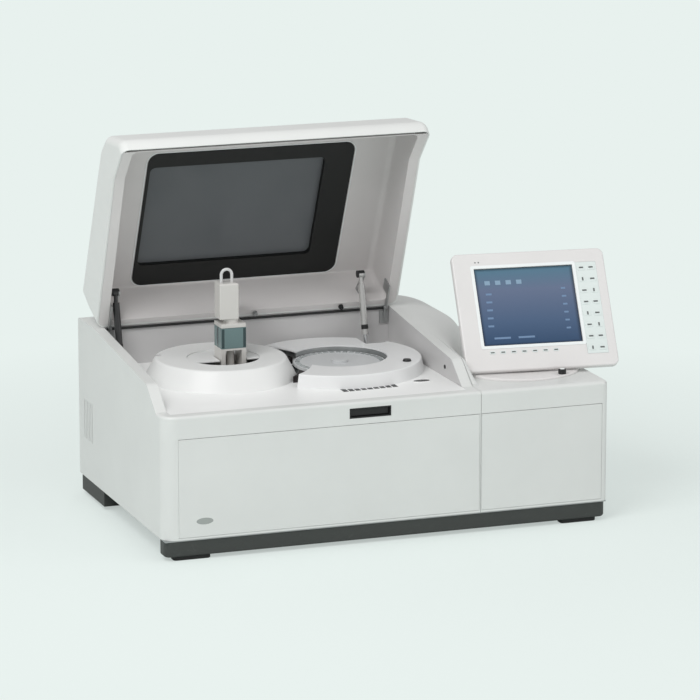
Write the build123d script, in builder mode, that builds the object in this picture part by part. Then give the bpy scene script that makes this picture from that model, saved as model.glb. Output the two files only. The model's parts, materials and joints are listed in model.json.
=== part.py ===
from build123d import *
import os
from math import atan2, cos, hypot, pi, radians, sin, tan

# Benchtop chemistry analyzer, millimetres, +Z up, the operator stands on the -Y side.
# Sizes are measured from the front left corner of the body and from the bench:
# x to the right, y to the back, z up.

os.makedirs("parts", exist_ok=True)

# ---------------------------------------------------------------- driving dimensions
# body
MAIN_W = 656.0
SIDE_W = 274.0
DEPTH = 575.0
BASE_H = 42.0
FRONT_H = 246.0
WALL = 4.0
SEAM = 1.0
FIT = 0.3
RUN = 0.05
CORNER_R = 30.0
END_CORNER_R = 14.0
TOP_EDGE_R = 8.0
BROW_R = 6.0
BAND_H = 45.0
LIP_W = 22.0
RAMP_FOOT_Y = 48.0
RAMP_TOP_Y = 106.0
WELL_BACK_Y = 466.0
WELL_FRONT_Y = 24.0
DECK_T = 4.0
DECK_SHELF = 8.0
FAIRING_W = 138.0
FAIRING_NECK_W = 14.0
FAIRING_NECK_Y = 150.0
PANEL_T = 2.0
PANEL_MARGIN = 22.0

# plinth and feet
PAN_T = 3.0
PAN_INSET = 3.0
FOOT_H = 8.0
PLINTH_D = 33.0
REAR_PLINTH_D = 155.0
REAR_PLINTH_W = 60.0
FRONT_FOOT_W = 76.0
FRONT_FOOT_D = 24.0
REAR_FOOT_R = 18.0

# lid
AXIS_Y = 460.0
AXIS_RISE = 78.0
LID_LEAN = 22.0
RIM_SLOPE = 6.0
LID_SIDE = 6.0
LID_T = 3.5
LID_RIM_V = 5.0
LID_BACK_U = 1.0
LID_HEIGHT_V = 126.0
LID_TAPER = 2.9
LID_TOP_U = 360.0
LID_FRONT_U = 448.0
LID_FRONT_V = -5.0
RIM_KINK_U = 354.0
LID_TIP_U = 440.0
LID_TIP_V = -27.6
LID_BROW_U = 405.0
LID_BROW_V = 85.0
LID_SHOULDER_U = 8.0
SIDE_ROUND = 16.0
LINER_T = 2.5
LINER_GAP = 14.0
LINER_ROUND = 12.0
RIM_T = 3.0
LEAF_U = 54.0
LEAF_V = 26.0
LINER_SIDE = 24.0
RIM_GAP = 2.0
WINDOW_SHIFT = -2.0
WINDOW_SIDE = 219.0
WINDOW_U = 187.0
WINDOW_H = 324.0
WINDOW_R = 22.0
FRAME_FLANGE = 1.2
GLASS_SHIFT = -27.0
GLASS_SIDE = 66.0
GLASS_U = 195.0
GLASS_H = 242.0
GLASS_R = 12.0
GLASS_T = 4.0
GLASS_LIP = 3.0

# lid hinges and gas struts
HINGE_W = 40.0
KNUCKLE_R = 4.0
HINGE_PIN_R = 2.0
HINGE_PLATE_T = 3.0
HINGE_PLATE_H = 34.0
STRUT_LEFT_X = 45.0
STRUT_RIGHT_INSET = 86.0
STRUT_FOOT_Y = 400.0
STRUT_FOOT_Z = 192.0
STRUT_TOP_Y = 458.0
STRUT_TOP_Z = 439.0
STRUT_ROD_R = 4.0
STRUT_TUBE_R = 7.0
STRUT_TUBE_L = 104.0
STRUT_EYE_R = 7.0
STRUT_EYE_W = 10.0
STRUT_PIN_R = 3.0
STRUT_SLOT_W = 26.0
STRUT_SLOT_Y = (376.0, 446.0)
STRUT_EAR_T = 3.0
STRUT_EAR_FOOT = 28.0

# reagent drum
DRUM_OFFSET = 113.0
DRUM_Y = 300.0
DRUM_OVERHANG = 10.0
DRUM_TAPER = 22.0
DRUM_H = 41.0
DRUM_HOLE_R = 73.0
DRUM_T = 3.0
BOWL_R = 143.0
BOWL_DEPTH = 96.0
BOWL_T = 3.0
BOWL_FLANGE_R = 147.0
BOWL_FLANGE_T = 2.0
CAROUSEL_GAP = 3.0
CAROUSEL_T = 6.0
BOTTLE_COUNT = 12
BOTTLE_GAP = 3.25
BOTTLE_H = 58.0
TUBE_COUNT = 24
TUBE_R = 6.5
TUBE_GAP = 9.5
TUBE_H = 70.0
HUB_R = 42.0
HUB_CLEAR = 3.0
DRUM_OPEN_SHIFT_X = 3.0
DRUM_OPEN_SHIFT_Y = -8.0
NEEDLE_HOLE_R = 7.0
MOTOR_R = 28.0
MOTOR_H = 60.0

# sampling tower
TOWER_SHIFT_X = 18.0
TOWER_SHIFT_Y = -8.0
TOWER_W = 52.0
TOWER_D = 46.0
TOWER_FOOT_RISE = 4.0
WINDOW_RISE = 62.0
TOWER_TOP_RISE = 112.0
TOWER_LEG_W = 9.0
TOWER_ROD_R = 8.0
TOWER_ROD_DROP = 128.0
TOWER_TRAVEL = 75.0
ARM_W = 30.0
HEAD_W = 40.0
HEAD_RISE = 121.0
HEAD_H = 72.0
HEAD_SHIFT = -7.0
HEAD_D = 36.0
ARM_H = 30.0
NEEDLE_REACH = 24.0
NEEDLE_R = 1.5
LOOP_R = 11.0
LOOP_TUBE_R = 3.0
LOOP_RISE = 15.0

# reaction rotor
BAY_GAP = 8.0
REACT_Y = 284.0
RISER_MARGIN = 2.0
RISER_TAPER = 6.0
RISER_H = 26.0
RISER_T = 3.0
DISH_R = 96.0
ROTOR_GAP = 2.0
ROTOR_T = 5.0
ROTOR_DROP = 12.0
CUVETTE_COUNT = 40
CUVETTE_W = 7.0
CUVETTE_RIM = 8.86
CUVETTE_WALL = 1.0
CUVETTE_H = 46.0
BATH_T = 3.0
BATH_FLANGE = 5.0
DRUM_RELIEF = 4.0

PHOTOMETER_L = 50.0
PHOTOMETER_W = 60.0
PHOTOMETER_GAP = 6.0
WASH_SPAN = 210.0
MECHANISM_W = 26.0
PORT_VIEW_OFFSET = 126.0
PORT_VIEW_INSET = 20.0
PORT_VIEW_RX = 17.0
PORT_VIEW_RY = 9.0

# monitor
MON_OFFSET = 166.0
MON_Y = 150.0
MON_SWIVEL = -6.4
MON_TILT = 32.0
SCREEN_RISE = 128.0
SCREEN_BACK = 14.0
SCREEN_W = 206.0
SCREEN_H = 165.0
CASE_LEFT = 146.0
CASE_RIGHT = 172.0
CASE_UP = 116.0
CASE_DOWN = 136.0
CASE_R = 14.0
BEZEL_T = 12.0
SHELL_D = 44.0
SHELL_INSET = 26.0
SHELL_RAISE = 70.0
SHELL_LIP = 4.0
SCREEN_RECESS = 3.0
SCREEN_T = 6.0
KEYPAD_X = 131.0
KEYPAD_Y = -11.0
KEYPAD_W = 44.0
KEYPAD_H = 196.0
KEYPAD_T = 1.6
KEY_ROWS = 8
KEY_W = 15.0
KEY_H = 11.0
KEY_RISE = 0.8
SOFT_KEY_X = -22.0
SOFT_KEY_Y = -97.0
SOFT_KEY_PITCH = 22.0
SOFT_KEY_COUNT = 7
SOFT_KEY_W = 11.0
SOFT_KEY_H = 6.0
BASE_MARGIN = 16.0
BASE_SHIFT = 7.0
BASE_RY = 105.0
BASE_FOOT_H = 5.0
TURN_R = 45.0
TURN_T = 6.0
PIVOT_BACK = 40.0
PIVOT_RISE = 56.0
PIVOT_R = 5.0
PIVOT_EAR_R = 10.0
YOKE_W = 40.0
LUG_REACH = 24.0
LUG_BEARING = 58.0
LUG_T = 10.0
KNOB_OFFSET = 57.0
KNOB_Y = 68.0
KNOB_R = 8.0
KNOB_L = 9.0
KNOB_STEM_R = 2.5

# front latch and rear fittings
LATCH_INSET = 232.0
LATCH_W = 86.0
LATCH_H = 20.0
LATCH_D = 16.0
LATCH_FRAME_T = 2.5
LATCH_GRIP_T = 6.0
LATCH_TRAVEL = 2.0
FAN_X = 140.0
FAN_Z = 200.0
FAN_SIZE = 92.0
FAN_D = 25.0
FAN_BORE_R = 42.0
FAN_ROTOR_R = 39.0
FAN_HUB_R = 15.0
FAN_BLADES = 7
INLET_SHIFT = -28.0
INLET_W = 60.0
INLET_H = 28.0
INLET_Z = 110.0
INLET_D = 22.0
ROCKER_OFFSET = 52.0
ROCKER_W = 24.0
ROCKER_H = 30.0
ROCKER_TILT = 8.0
ROCKER_DRAFT = 6.0
ROCKER_SPAN = 0.84
PORT_OFFSET = 130.0
PORT_PITCH = 44.0
PORT_W = 34.0
PORT_H = 14.0
FLUID_INSET = 96.0
FLUID_R = 7.0
FLUID_BORE_R = 3.0
FLUID_PITCH = 32.0
SCREW_R = 4.0
SCREW_H = 2.4
SUPPLY_D = 220.0
SUPPLY_H = 70.0
BOARD_Y0 = 60.0
BOARD_Y1 = 300.0
BOARD_RISE = 14.0
PUMP_X = 40.0
PUMP_Y = 40.0
PUMP_W = 70.0
PUMP_H = 80.0

# ---------------------------------------------------------------- derived places
BODY_W = MAIN_W + SIDE_W
DECK_Z = BASE_H + FRONT_H
MIDDLE_X = MAIN_W / 2
WINDOW_X = MIDDLE_X + WINDOW_SHIFT
WINDOW_W = MAIN_W - WINDOW_SIDE
GLASS_X = WINDOW_X + GLASS_SHIFT
GLASS_W = WINDOW_W - GLASS_SIDE
STRUT_X = (STRUT_LEFT_X, MAIN_W - STRUT_RIGHT_INSET)
DRUM_X = MIDDLE_X - DRUM_OFFSET
DRUM_R = BOWL_R + DRUM_OVERHANG
DRUM_TOP_R = DRUM_R - DRUM_TAPER
DRUM_OPEN_X = DRUM_X + DRUM_OPEN_SHIFT_X
DRUM_OPEN_Y = DRUM_Y + DRUM_OPEN_SHIFT_Y
CAROUSEL_R = BOWL_R - BOWL_T - CAROUSEL_GAP
TOWER_X = DRUM_X + TOWER_SHIFT_X
TOWER_Y = DRUM_Y + TOWER_SHIFT_Y
REACT_X = DRUM_X + BOWL_R + DISH_R + BAY_GAP
ROTOR_R = DISH_R - ROTOR_GAP
RISER_R = WELL_BACK_Y - RISER_MARGIN - REACT_Y
RISER_TOP_R = RISER_R - RISER_TAPER
RISER_X = MAIN_W - LIP_W - RISER_MARGIN - RISER_R
PORT_VIEW_X = RISER_X + PORT_VIEW_OFFSET
PORT_VIEW_Y = REACT_Y - RISER_R + PORT_VIEW_INSET
MON_X = MAIN_W + MON_OFFSET
BASE_X = MAIN_W + SIDE_W / 2 + BASE_SHIFT
BASE_RX = SIDE_W / 2 - BASE_MARGIN
KNOB_X = BASE_X + KNOB_OFFSET
LATCH_X = MAIN_W - LATCH_INSET
INLET_X = MIDDLE_X + INLET_SHIFT
ROCKER_X = INLET_X + ROCKER_OFFSET
PORT_X = INLET_X + PORT_OFFSET
FLUID_X = MAIN_W - FLUID_INSET
AXIS_Z = DECK_Z + AXIS_RISE
LEDGE_Z = AXIS_Z + RIM_GAP
CASE_REACH = MON_X + CASE_RIGHT * cos(radians(MON_SWIVEL)) + SHELL_D * sin(radians(-MON_SWIVEL)) / 2
LEFT = -max(CASE_REACH, BODY_W) / 2
FRONT = -DEPTH / 2
BAND_Z = DECK_Z - BAND_H
CLOSING = 90.0 - LID_LEAN + RIM_SLOPE
LID_RIGHT = MAIN_W - LID_SIDE + SEAM * 2
BOWL_Z = DECK_Z - BOWL_DEPTH
HUB_TOP_Z = DECK_Z - TOWER_TRAVEL + TOWER_FOOT_RISE - HUB_CLEAR
TOWER_FOOT_Z = DECK_Z + TOWER_FOOT_RISE
TOWER_TOP_Z = DECK_Z + TOWER_TOP_RISE
HEAD_Z = DECK_Z + HEAD_RISE
ROTOR_Z = DECK_Z + RISER_H - ROTOR_DROP
RISER_TOP_Z = DECK_Z + RISER_H
PITCH_TO_ROTOR = hypot(REACT_X - TOWER_X, REACT_Y - TOWER_Y)
CUVETTE_PITCH_R = ROTOR_R - CUVETTE_RIM
ARM_R = PITCH_TO_ROTOR - CUVETTE_PITCH_R
TUBE_PITCH_R = ARM_R - hypot(TOWER_SHIFT_X, TOWER_SHIFT_Y)
BOTTLE_SHARE = sin(pi / BOTTLE_COUNT)
BOTTLE_PITCH_R = (TUBE_PITCH_R - TUBE_R - TUBE_GAP) / (1 + BOTTLE_SHARE)
BOTTLE_R = BOTTLE_PITCH_R * BOTTLE_SHARE - BOTTLE_GAP
BATH_Z = ROTOR_Z - CUVETTE_H - 4 * BATH_T
PIN_HOLE_R = HINGE_PIN_R + RUN


def at(x, y, z=0.0):
    """A point given from the front left corner, in the model's frame."""
    return (LEFT + x, FRONT + y, z)


def level(z):
    """Horizontal plane at a height, its origin over the front left corner."""
    return Plane(origin=at(0, 0, z), x_dir=(1, 0, 0), z_dir=(0, 0, 1))


def across(y):
    """Upright plane facing the operator: local x to the right, local y up."""
    return Plane(origin=at(0, y), x_dir=(1, 0, 0), z_dir=(0, -1, 0))


def along(x):
    """Upright plane facing right: local x to the back, local y up."""
    return Plane(origin=at(x, 0), x_dir=(0, 1, 0), z_dir=(1, 0, 0))


def lid_side(x):
    """Side plane of the open lid: local x (u) runs up the lid, local y (v) out of its back."""
    lean = radians(LID_LEAN)
    return Plane(origin=at(x, AXIS_Y, AXIS_Z), x_dir=(0, -sin(lean), cos(lean)), z_dir=(-1, 0, 0))


def rim_z(y):
    """Height of the housing's side rims."""
    return AXIS_Z + LID_RIM_V - RIM_GAP - (AXIS_Y - y) * tan(radians(RIM_SLOPE))


def slab(x0, x1, y0, y1, z0, z1, mode=Mode.ADD):
    with BuildSketch(level(z0)) as outline:
        with Locations(((x0 + x1) / 2, (y0 + y1) / 2)):
            Rectangle(x1 - x0, y1 - y0)
    extrude(outline.sketch, amount=z1 - z0, mode=mode)


def disc(x, y, z0, z1, radius, mode=Mode.ADD):
    with BuildSketch(level(z0)) as outline:
        with Locations((x, y)):
            Circle(radius)
    extrude(outline.sketch, amount=z1 - z0, mode=mode)


def turned(x, y, outline, mode=Mode.ADD):
    """Revolve an outline of (radius, height) points about the upright axis at x, y."""
    with BuildSketch(Plane(origin=at(x, y), x_dir=(1, 0, 0), z_dir=(0, -1, 0))) as section:
        Polygon(*outline, align=None)
    revolve(section.sketch, axis=Axis(at(x, y), (0, 0, 1)), mode=mode)


def prism(plane, outline, length, mode=Mode.ADD):
    with BuildSketch(plane) as section:
        Polygon(*outline, align=None)
    extrude(section.sketch, amount=length, mode=mode)


def save(builder, name):
    builder.part.label = name
    export_step(builder.part, f"parts/{name}.step")


# ---------------------------------------------------------------- chassis
with BuildPart() as base_pan:
    slab(PAN_INSET, BODY_W - PAN_INSET, PAN_INSET, DEPTH - PAN_INSET, BASE_H - PAN_T, BASE_H)
    with BuildSketch(level(BASE_H)):
        with Locations((MAIN_W / 2, DEPTH / 2)):
            with GridLocations(MAIN_W / 12, DEPTH / 6, 8, 3):
                SlotOverall(MAIN_W / 16, PAN_T * 2)
    extrude(amount=-PAN_T, mode=Mode.SUBTRACT)
save(base_pan, "base_pan")

PLINTH_TOP = BASE_H - PAN_T

with BuildPart() as plinth:
    slab(PAN_INSET, BODY_W - PAN_INSET, PAN_INSET, PAN_INSET + PLINTH_D, FOOT_H, PLINTH_TOP)
    fillet(plinth.edges().filter_by(Axis.Z).group_by(Axis.Y)[0], END_CORNER_R)
    chamfer(plinth.edges().group_by(Axis.Z)[0].group_by(Axis.Y)[0], PAN_INSET)
    for x0 in (PAN_INSET, BODY_W - PAN_INSET - REAR_PLINTH_W):
        y1 = DEPTH - 2 * PAN_INSET
        slab(x0, x0 + REAR_PLINTH_W, y1 - REAR_PLINTH_D, y1, FOOT_H, PLINTH_TOP)
save(plinth, "plinth")

with BuildPart() as rubber_feet:
    with BuildSketch(level(0)):
        with Locations((BODY_W / 2, PAN_INSET + PLINTH_D / 2)):
            with GridLocations(BODY_W - 2 * FRONT_FOOT_W + PLINTH_D, 0, 2, 1):
                RectangleRounded(FRONT_FOOT_W, FRONT_FOOT_D, END_CORNER_R / 2)
        with Locations((BODY_W / 2, DEPTH - 2 * PAN_INSET - REAR_PLINTH_D / 2)):
            with GridLocations(BODY_W - 2 * PAN_INSET - REAR_PLINTH_W, 0, 2, 1):
                Circle(REAR_FOOT_R)
    extrude(amount=FOOT_H)
    chamfer(rubber_feet.edges().group_by(Axis.Z)[0], SEAM)
save(rubber_feet, "rubber_feet")

# ---------------------------------------------------------------- main housing
COVER_LEFT = CORNER_R
COVER_RIGHT = MAIN_W - SEAM * 2
COVER_BOTTOM = BASE_H + WALL
PANEL_X0 = PANEL_MARGIN
PANEL_X1 = MAIN_W - PANEL_MARGIN
PANEL_Z0 = BASE_H + PANEL_MARGIN
PANEL_Z1 = LEDGE_Z - PANEL_MARGIN

# inner space of the body, below the deck and behind the well
with BuildPart() as body_cavity:
    prism(
        along(WALL),
        (
            (WALL, BASE_H),
            (WALL, DECK_Z - 2 * DECK_T),
            (WELL_BACK_Y + WALL, DECK_Z - 2 * DECK_T),
            (WELL_BACK_Y + WALL, LEDGE_Z - WALL),
            (DEPTH - WALL, LEDGE_Z - WALL),
            (DEPTH - WALL, BASE_H),
        ),
        MAIN_W - 2 * WALL,
    )
    front_corner = body_cavity.edges().filter_by(Axis.Z).sort_by_distance(at(WALL, WALL, BASE_H))[0]
    fillet(front_corner, CORNER_R - WALL)

with BuildPart() as main_housing:
    with BuildSketch(level(BASE_H)) as footprint:
        with Locations((MAIN_W / 2, DEPTH / 2)):
            Rectangle(MAIN_W, DEPTH)
        fillet(footprint.vertices().sort_by_distance((0, 0))[0], CORNER_R)
    extrude(amount=LEDGE_Z)
    with BuildSketch(along(0)) as body_side:
        Polygon(
            (0, BASE_H),
            (0, DECK_Z),
            (RAMP_FOOT_Y, DECK_Z),
            (RAMP_TOP_Y, rim_z(RAMP_TOP_Y)),
            (WELL_BACK_Y, LEDGE_Z),
            (DEPTH, LEDGE_Z),
            (DEPTH, BASE_H),
            align=None,
        )
        fillet(body_side.vertices().sort_by_distance((RAMP_TOP_Y, rim_z(RAMP_TOP_Y)))[0], CORNER_R)
        fillet(body_side.vertices().sort_by_distance((DEPTH, LEDGE_Z))[0], TOP_EDGE_R)
    extrude(amount=MAIN_W, mode=Mode.INTERSECT)
    front_brow = main_housing.faces().filter_by(Plane.XY).sort_by(Axis.Y)[0].edges()
    fillet(front_brow.sort_by(Axis.Y)[:2], BROW_R)
    add(body_cavity.part, mode=Mode.SUBTRACT)
    # the hollow side rims
    for x0 in (WALL, MAIN_W - LIP_W + WALL):
        prism(
            along(x0),
            (
                (RAMP_FOOT_Y + CORNER_R, DECK_Z - 2 * DECK_T),
                (RAMP_FOOT_Y + CORNER_R, DECK_Z),
                (RAMP_TOP_Y + WALL, rim_z(RAMP_TOP_Y) - 2 * WALL),
                (WELL_BACK_Y + WALL, LEDGE_Z - WALL),
                (WELL_BACK_Y + WALL, DECK_Z - 2 * DECK_T),
            ),
            LIP_W - 2 * WALL,
            Mode.SUBTRACT,
        )
    # the well, with a shelf round it for the deck plate
    slab(LIP_W, MAIN_W - LIP_W, WELL_FRONT_Y, WELL_BACK_Y, DECK_Z - DECK_T, LEDGE_Z + WALL, Mode.SUBTRACT)
    slab(
        LIP_W + DECK_SHELF,
        MAIN_W - LIP_W - DECK_SHELF,
        WELL_FRONT_Y + DECK_SHELF,
        WELL_BACK_Y - DECK_SHELF,
        DECK_Z - 3 * DECK_T,
        DECK_Z,
        Mode.SUBTRACT,
    )
    # openings for the front cover, the rear panel and the latch
    slab(COVER_LEFT, COVER_RIGHT, -WALL, WALL + SEAM, COVER_BOTTOM, BAND_Z, Mode.SUBTRACT)
    slab(PANEL_X0, PANEL_X1, DEPTH - WALL - SEAM, DEPTH + WALL, PANEL_Z0, PANEL_Z1, Mode.SUBTRACT)
    with BuildSketch(across(-SEAM)):
        with Locations((LATCH_X, BAND_Z + BAND_H / 2)):
            Rectangle(LATCH_W + 2 * FIT, LATCH_H + 2 * FIT)
    extrude(amount=-(LATCH_D + WALL), mode=Mode.SUBTRACT)
    # cooling louvres low in the left wall, near the back
    with BuildSketch(along(0)):
        with Locations((DEPTH - 3 * PANEL_MARGIN, (BASE_H + DECK_Z) / 2)):
            with GridLocations(PANEL_MARGIN / 2, 0, 6, 1):
                SlotOverall(FRONT_H / 3, WALL, rotation=90)
    extrude(amount=WALL, mode=Mode.SUBTRACT)
    # holes of the lid's rubber stops in the ledge
    with BuildSketch(level(LEDGE_Z)):
        with Locations((MAIN_W / 2, WELL_BACK_Y + LIP_W)):
            with GridLocations(MAIN_W / 2, 0, 2, 1):
                Circle(SCREW_R)
    extrude(amount=-WALL, mode=Mode.SUBTRACT)
save(main_housing, "main_housing")

with BuildPart() as front_cover_main:
    slab(COVER_LEFT + FIT, COVER_RIGHT - FIT, 0, WALL, COVER_BOTTOM + FIT, BAND_Z - SEAM)
    chamfer(front_cover_main.faces().filter_by(Axis.Y).sort_by(Axis.Y)[0].edges(), SEAM / 2)
save(front_cover_main, "front_cover_main")

# ---------------------------------------------------------------- side housing
SIDE_X = MAIN_W + SEAM
SIDE_COVER = (SIDE_X + SEAM, BODY_W - END_CORNER_R, COVER_BOTTOM, BAND_Z)


def fairing(inset):
    """Shoulder beside the lid, growing from the lip towards the back."""
    shapes = (
        (RAMP_FOOT_Y, FAIRING_NECK_W, WALL),
        (RAMP_TOP_Y, FAIRING_NECK_W, rim_z(RAMP_TOP_Y) - DECK_Z),
        (FAIRING_NECK_Y, FAIRING_NECK_W, rim_z(FAIRING_NECK_Y) - DECK_Z),
        (WELL_BACK_Y, FAIRING_W, AXIS_RISE),
        (DEPTH, FAIRING_W, AXIS_RISE),
    )
    if inset:
        shapes = (
            (WELL_BACK_Y / 2, FAIRING_W / 3, AXIS_RISE * 2 / 3),
            (WELL_BACK_Y, FAIRING_W, AXIS_RISE),
            (DEPTH - inset, FAIRING_W, AXIS_RISE),
        )
    sections = []
    for y, wide, high in shapes:
        left = SIDE_X + inset
        right = SIDE_X + wide - inset
        with BuildSketch(across(y)) as section:
            with Locations((left, DECK_Z)):
                Ellipse(right - left, high - inset)
                Rectangle(right - left, high, align=(Align.MIN, Align.MIN), mode=Mode.INTERSECT)
                Rectangle(right - left, 2 * WALL, align=(Align.MIN, Align.MAX))
        sections.append(section.sketch)
    for near, far in zip(sections, sections[1:]):
        loft([near, far], ruled=True, mode=Mode.SUBTRACT if inset else Mode.ADD)


with BuildPart() as side_housing:
    slab(SIDE_X, BODY_W, 0, DEPTH, BASE_H, DECK_Z)
    fillet(side_housing.edges().filter_by(Axis.Z).group_by(Axis.X)[-1], END_CORNER_R)
    top_edges = side_housing.faces().sort_by(Axis.Z)[-1].edges()
    fillet(top_edges.sort_by(Axis.Y)[0], TOP_EDGE_R)
    fairing(0)
    slab(SIDE_X + WALL, BODY_W - WALL, WALL, DEPTH - WALL, BASE_H, DECK_Z - WALL, Mode.SUBTRACT)
    fairing(WALL)
    slab(SIDE_COVER[0], SIDE_COVER[1], -WALL, WALL + SEAM, SIDE_COVER[2], SIDE_COVER[3], Mode.SUBTRACT)
save(side_housing, "side_housing")

with BuildPart() as front_cover_side:
    slab(SIDE_COVER[0] + FIT, SIDE_COVER[1] - FIT, 0, WALL, SIDE_COVER[2] + FIT, SIDE_COVER[3] - SEAM)
    chamfer(front_cover_side.faces().filter_by(Axis.Y).sort_by(Axis.Y)[0].edges(), SEAM / 2)
save(front_cover_side, "front_cover_side")

# ---------------------------------------------------------------- rear panel and fittings
PANEL_Y = DEPTH - WALL - SEAM + FIT

with BuildPart() as rear_panel:
    slab(PANEL_X0 + FIT, PANEL_X1 - FIT, PANEL_Y, PANEL_Y + PANEL_T, PANEL_Z0 + FIT, PANEL_Z1 - FIT)
    with BuildSketch(across(PANEL_Y)) as panel_holes:
        with Locations((FAN_X, FAN_Z)):
            with GridLocations(FAN_BORE_R * 2, FAN_BORE_R * 2 / 9, 1, 9):
                SlotOverall(FAN_BORE_R * 1.5, FAN_BORE_R / 9)
        with Locations((INLET_X, INLET_Z)):
            Rectangle(INLET_W + 2 * FIT, INLET_H + 2 * FIT)
        with Locations((ROCKER_X, INLET_Z)):
            Rectangle(ROCKER_W + 2 * WALL + 2 * FIT, ROCKER_H + 2 * WALL + 2 * FIT)
        with Locations((PORT_X + PORT_PITCH, INLET_Z)):
            with GridLocations(PORT_PITCH, 0, 3, 1):
                Rectangle(PORT_W + 2 * FIT, PORT_H + 2 * FIT)
        with Locations((FLUID_X, INLET_Z + PORT_PITCH * 1.5)):
            with GridLocations(0, FLUID_PITCH, 1, 3):
                Circle(FLUID_R + FIT)
    extrude(amount=-PANEL_T, mode=Mode.SUBTRACT)
save(rear_panel, "rear_panel")

with BuildPart() as power_inlet:
    with BuildSketch(across(PANEL_Y + PANEL_T)):
        with Locations((INLET_X, INLET_Z)):
            RectangleRounded(INLET_W, INLET_H, WALL)
    extrude(amount=INLET_D)
    with BuildSketch(across(PANEL_Y + PANEL_T)):
        with Locations((INLET_X - INLET_W / 6, INLET_Z)):
            RectangleRounded(INLET_W / 2, INLET_H * 0.7, WALL)
    extrude(amount=INLET_D - WALL, mode=Mode.SUBTRACT)
    with BuildSketch(across(PANEL_Y + PANEL_T)):
        with Locations((INLET_X - INLET_W / 6, INLET_Z)):
            with GridLocations(INLET_W / 8, 0, 3, 1):
                Rectangle(PANEL_T, INLET_H / 4)
    extrude(amount=INLET_D)
    with BuildSketch(across(PANEL_Y + PANEL_T)):
        with Locations((ROCKER_X, INLET_Z)):
            Rectangle(ROCKER_W + 2 * WALL, ROCKER_H + 2 * WALL)
            Rectangle(ROCKER_W, ROCKER_H, mode=Mode.SUBTRACT)
    extrude(amount=INLET_D)
    with BuildSketch(across(PANEL_Y + PANEL_T - INLET_D)):
        with Locations((ROCKER_X, INLET_Z)):
            Rectangle(ROCKER_W + 2 * WALL, ROCKER_H + 2 * WALL)
    extrude(amount=-PANEL_T)
save(power_inlet, "power_inlet")

with BuildPart() as data_ports:
    with BuildSketch(across(PANEL_Y + PANEL_T)):
        with Locations((PORT_X + PORT_PITCH, INLET_Z)):
            with GridLocations(PORT_PITCH, 0, 3, 1):
                Rectangle(PORT_W, PORT_H)
                Rectangle(PORT_W - 2 * PANEL_T, PORT_H - 2 * PANEL_T, mode=Mode.SUBTRACT)
    extrude(amount=PORT_H)
    with BuildSketch(across(PANEL_Y + PANEL_T - PORT_H)):
        with Locations((PORT_X + PORT_PITCH, INLET_Z)):
            with GridLocations(PORT_PITCH, 0, 3, 1):
                Rectangle(PORT_W, PORT_H)
    extrude(amount=PANEL_T)
save(data_ports, "data_ports")

with BuildPart() as fluid_ports:
    with BuildSketch(across(PANEL_Y + PANEL_T)):
        with Locations((FLUID_X, INLET_Z + PORT_PITCH * 1.5)):
            with GridLocations(0, FLUID_PITCH, 1, 3):
                Circle(FLUID_R)
                Circle(FLUID_BORE_R, mode=Mode.SUBTRACT)
    extrude(amount=INLET_D)
save(fluid_ports, "fluid_ports")

FAN_Y = PANEL_Y - FIT

with BuildPart() as fan_frame:
    with BuildSketch(across(FAN_Y)):
        with Locations((FAN_X, FAN_Z)):
            RectangleRounded(FAN_SIZE, FAN_SIZE, WALL)
            Circle(FAN_BORE_R, mode=Mode.SUBTRACT)
    extrude(amount=FAN_D)
    with BuildSketch(across(FAN_Y - FAN_D + PANEL_T)):
        with Locations((FAN_X, FAN_Z)):
            Rectangle(FAN_SIZE - WALL, WALL)
            Rectangle(WALL, FAN_SIZE - WALL)
            Circle(FAN_HUB_R)
    extrude(amount=PANEL_T)
    with BuildSketch(across(FAN_Y - FAN_D + PANEL_T)):
        with Locations((FAN_X, FAN_Z)):
            Circle(HINGE_PIN_R)
    extrude(amount=-FAN_D / 2)
save(fan_frame, "fan_frame")

with BuildPart() as fan_rotor:
    with BuildSketch(across(FAN_Y - WALL)):
        with Locations((FAN_X, FAN_Z)):
            Circle(FAN_HUB_R)
            with PolarLocations((FAN_HUB_R + FAN_ROTOR_R) / 2, FAN_BLADES):
                Rectangle(FAN_ROTOR_R - FAN_HUB_R + PANEL_T, WALL * 2)
    extrude(amount=FAN_D - PANEL_T * 4)
    with BuildSketch(across(FAN_Y - WALL)):
        with Locations((FAN_X, FAN_Z)):
            Circle(PIN_HOLE_R)
    extrude(amount=FAN_D, mode=Mode.SUBTRACT)
save(fan_rotor, "fan_rotor")

ROCKER_Y = PANEL_Y + PANEL_T - ROCKER_H / 4

with BuildPart() as power_rocker:
    with BuildSketch(along(ROCKER_X - ROCKER_W / 2 + FIT)):
        with Locations((ROCKER_Y, INLET_Z)):
            Circle(ROCKER_H / 4)
            with Locations((WALL, 0)):
                Trapezoid(ROCKER_H * ROCKER_SPAN, WALL, 90 - ROCKER_TILT - ROCKER_DRAFT, rotation=90)
    extrude(amount=ROCKER_W - 2 * FIT)
save(power_rocker, "power_rocker")

# ---------------------------------------------------------------- deck
DRUM_CUT_R = DRUM_R + DRUM_RELIEF
MECH_R = DRUM_CUT_R + MECHANISM_W
SLOT_Y_MID = sum(STRUT_SLOT_Y) / 2
SLOT_Y_LEN = STRUT_SLOT_Y[1] - STRUT_SLOT_Y[0]

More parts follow.
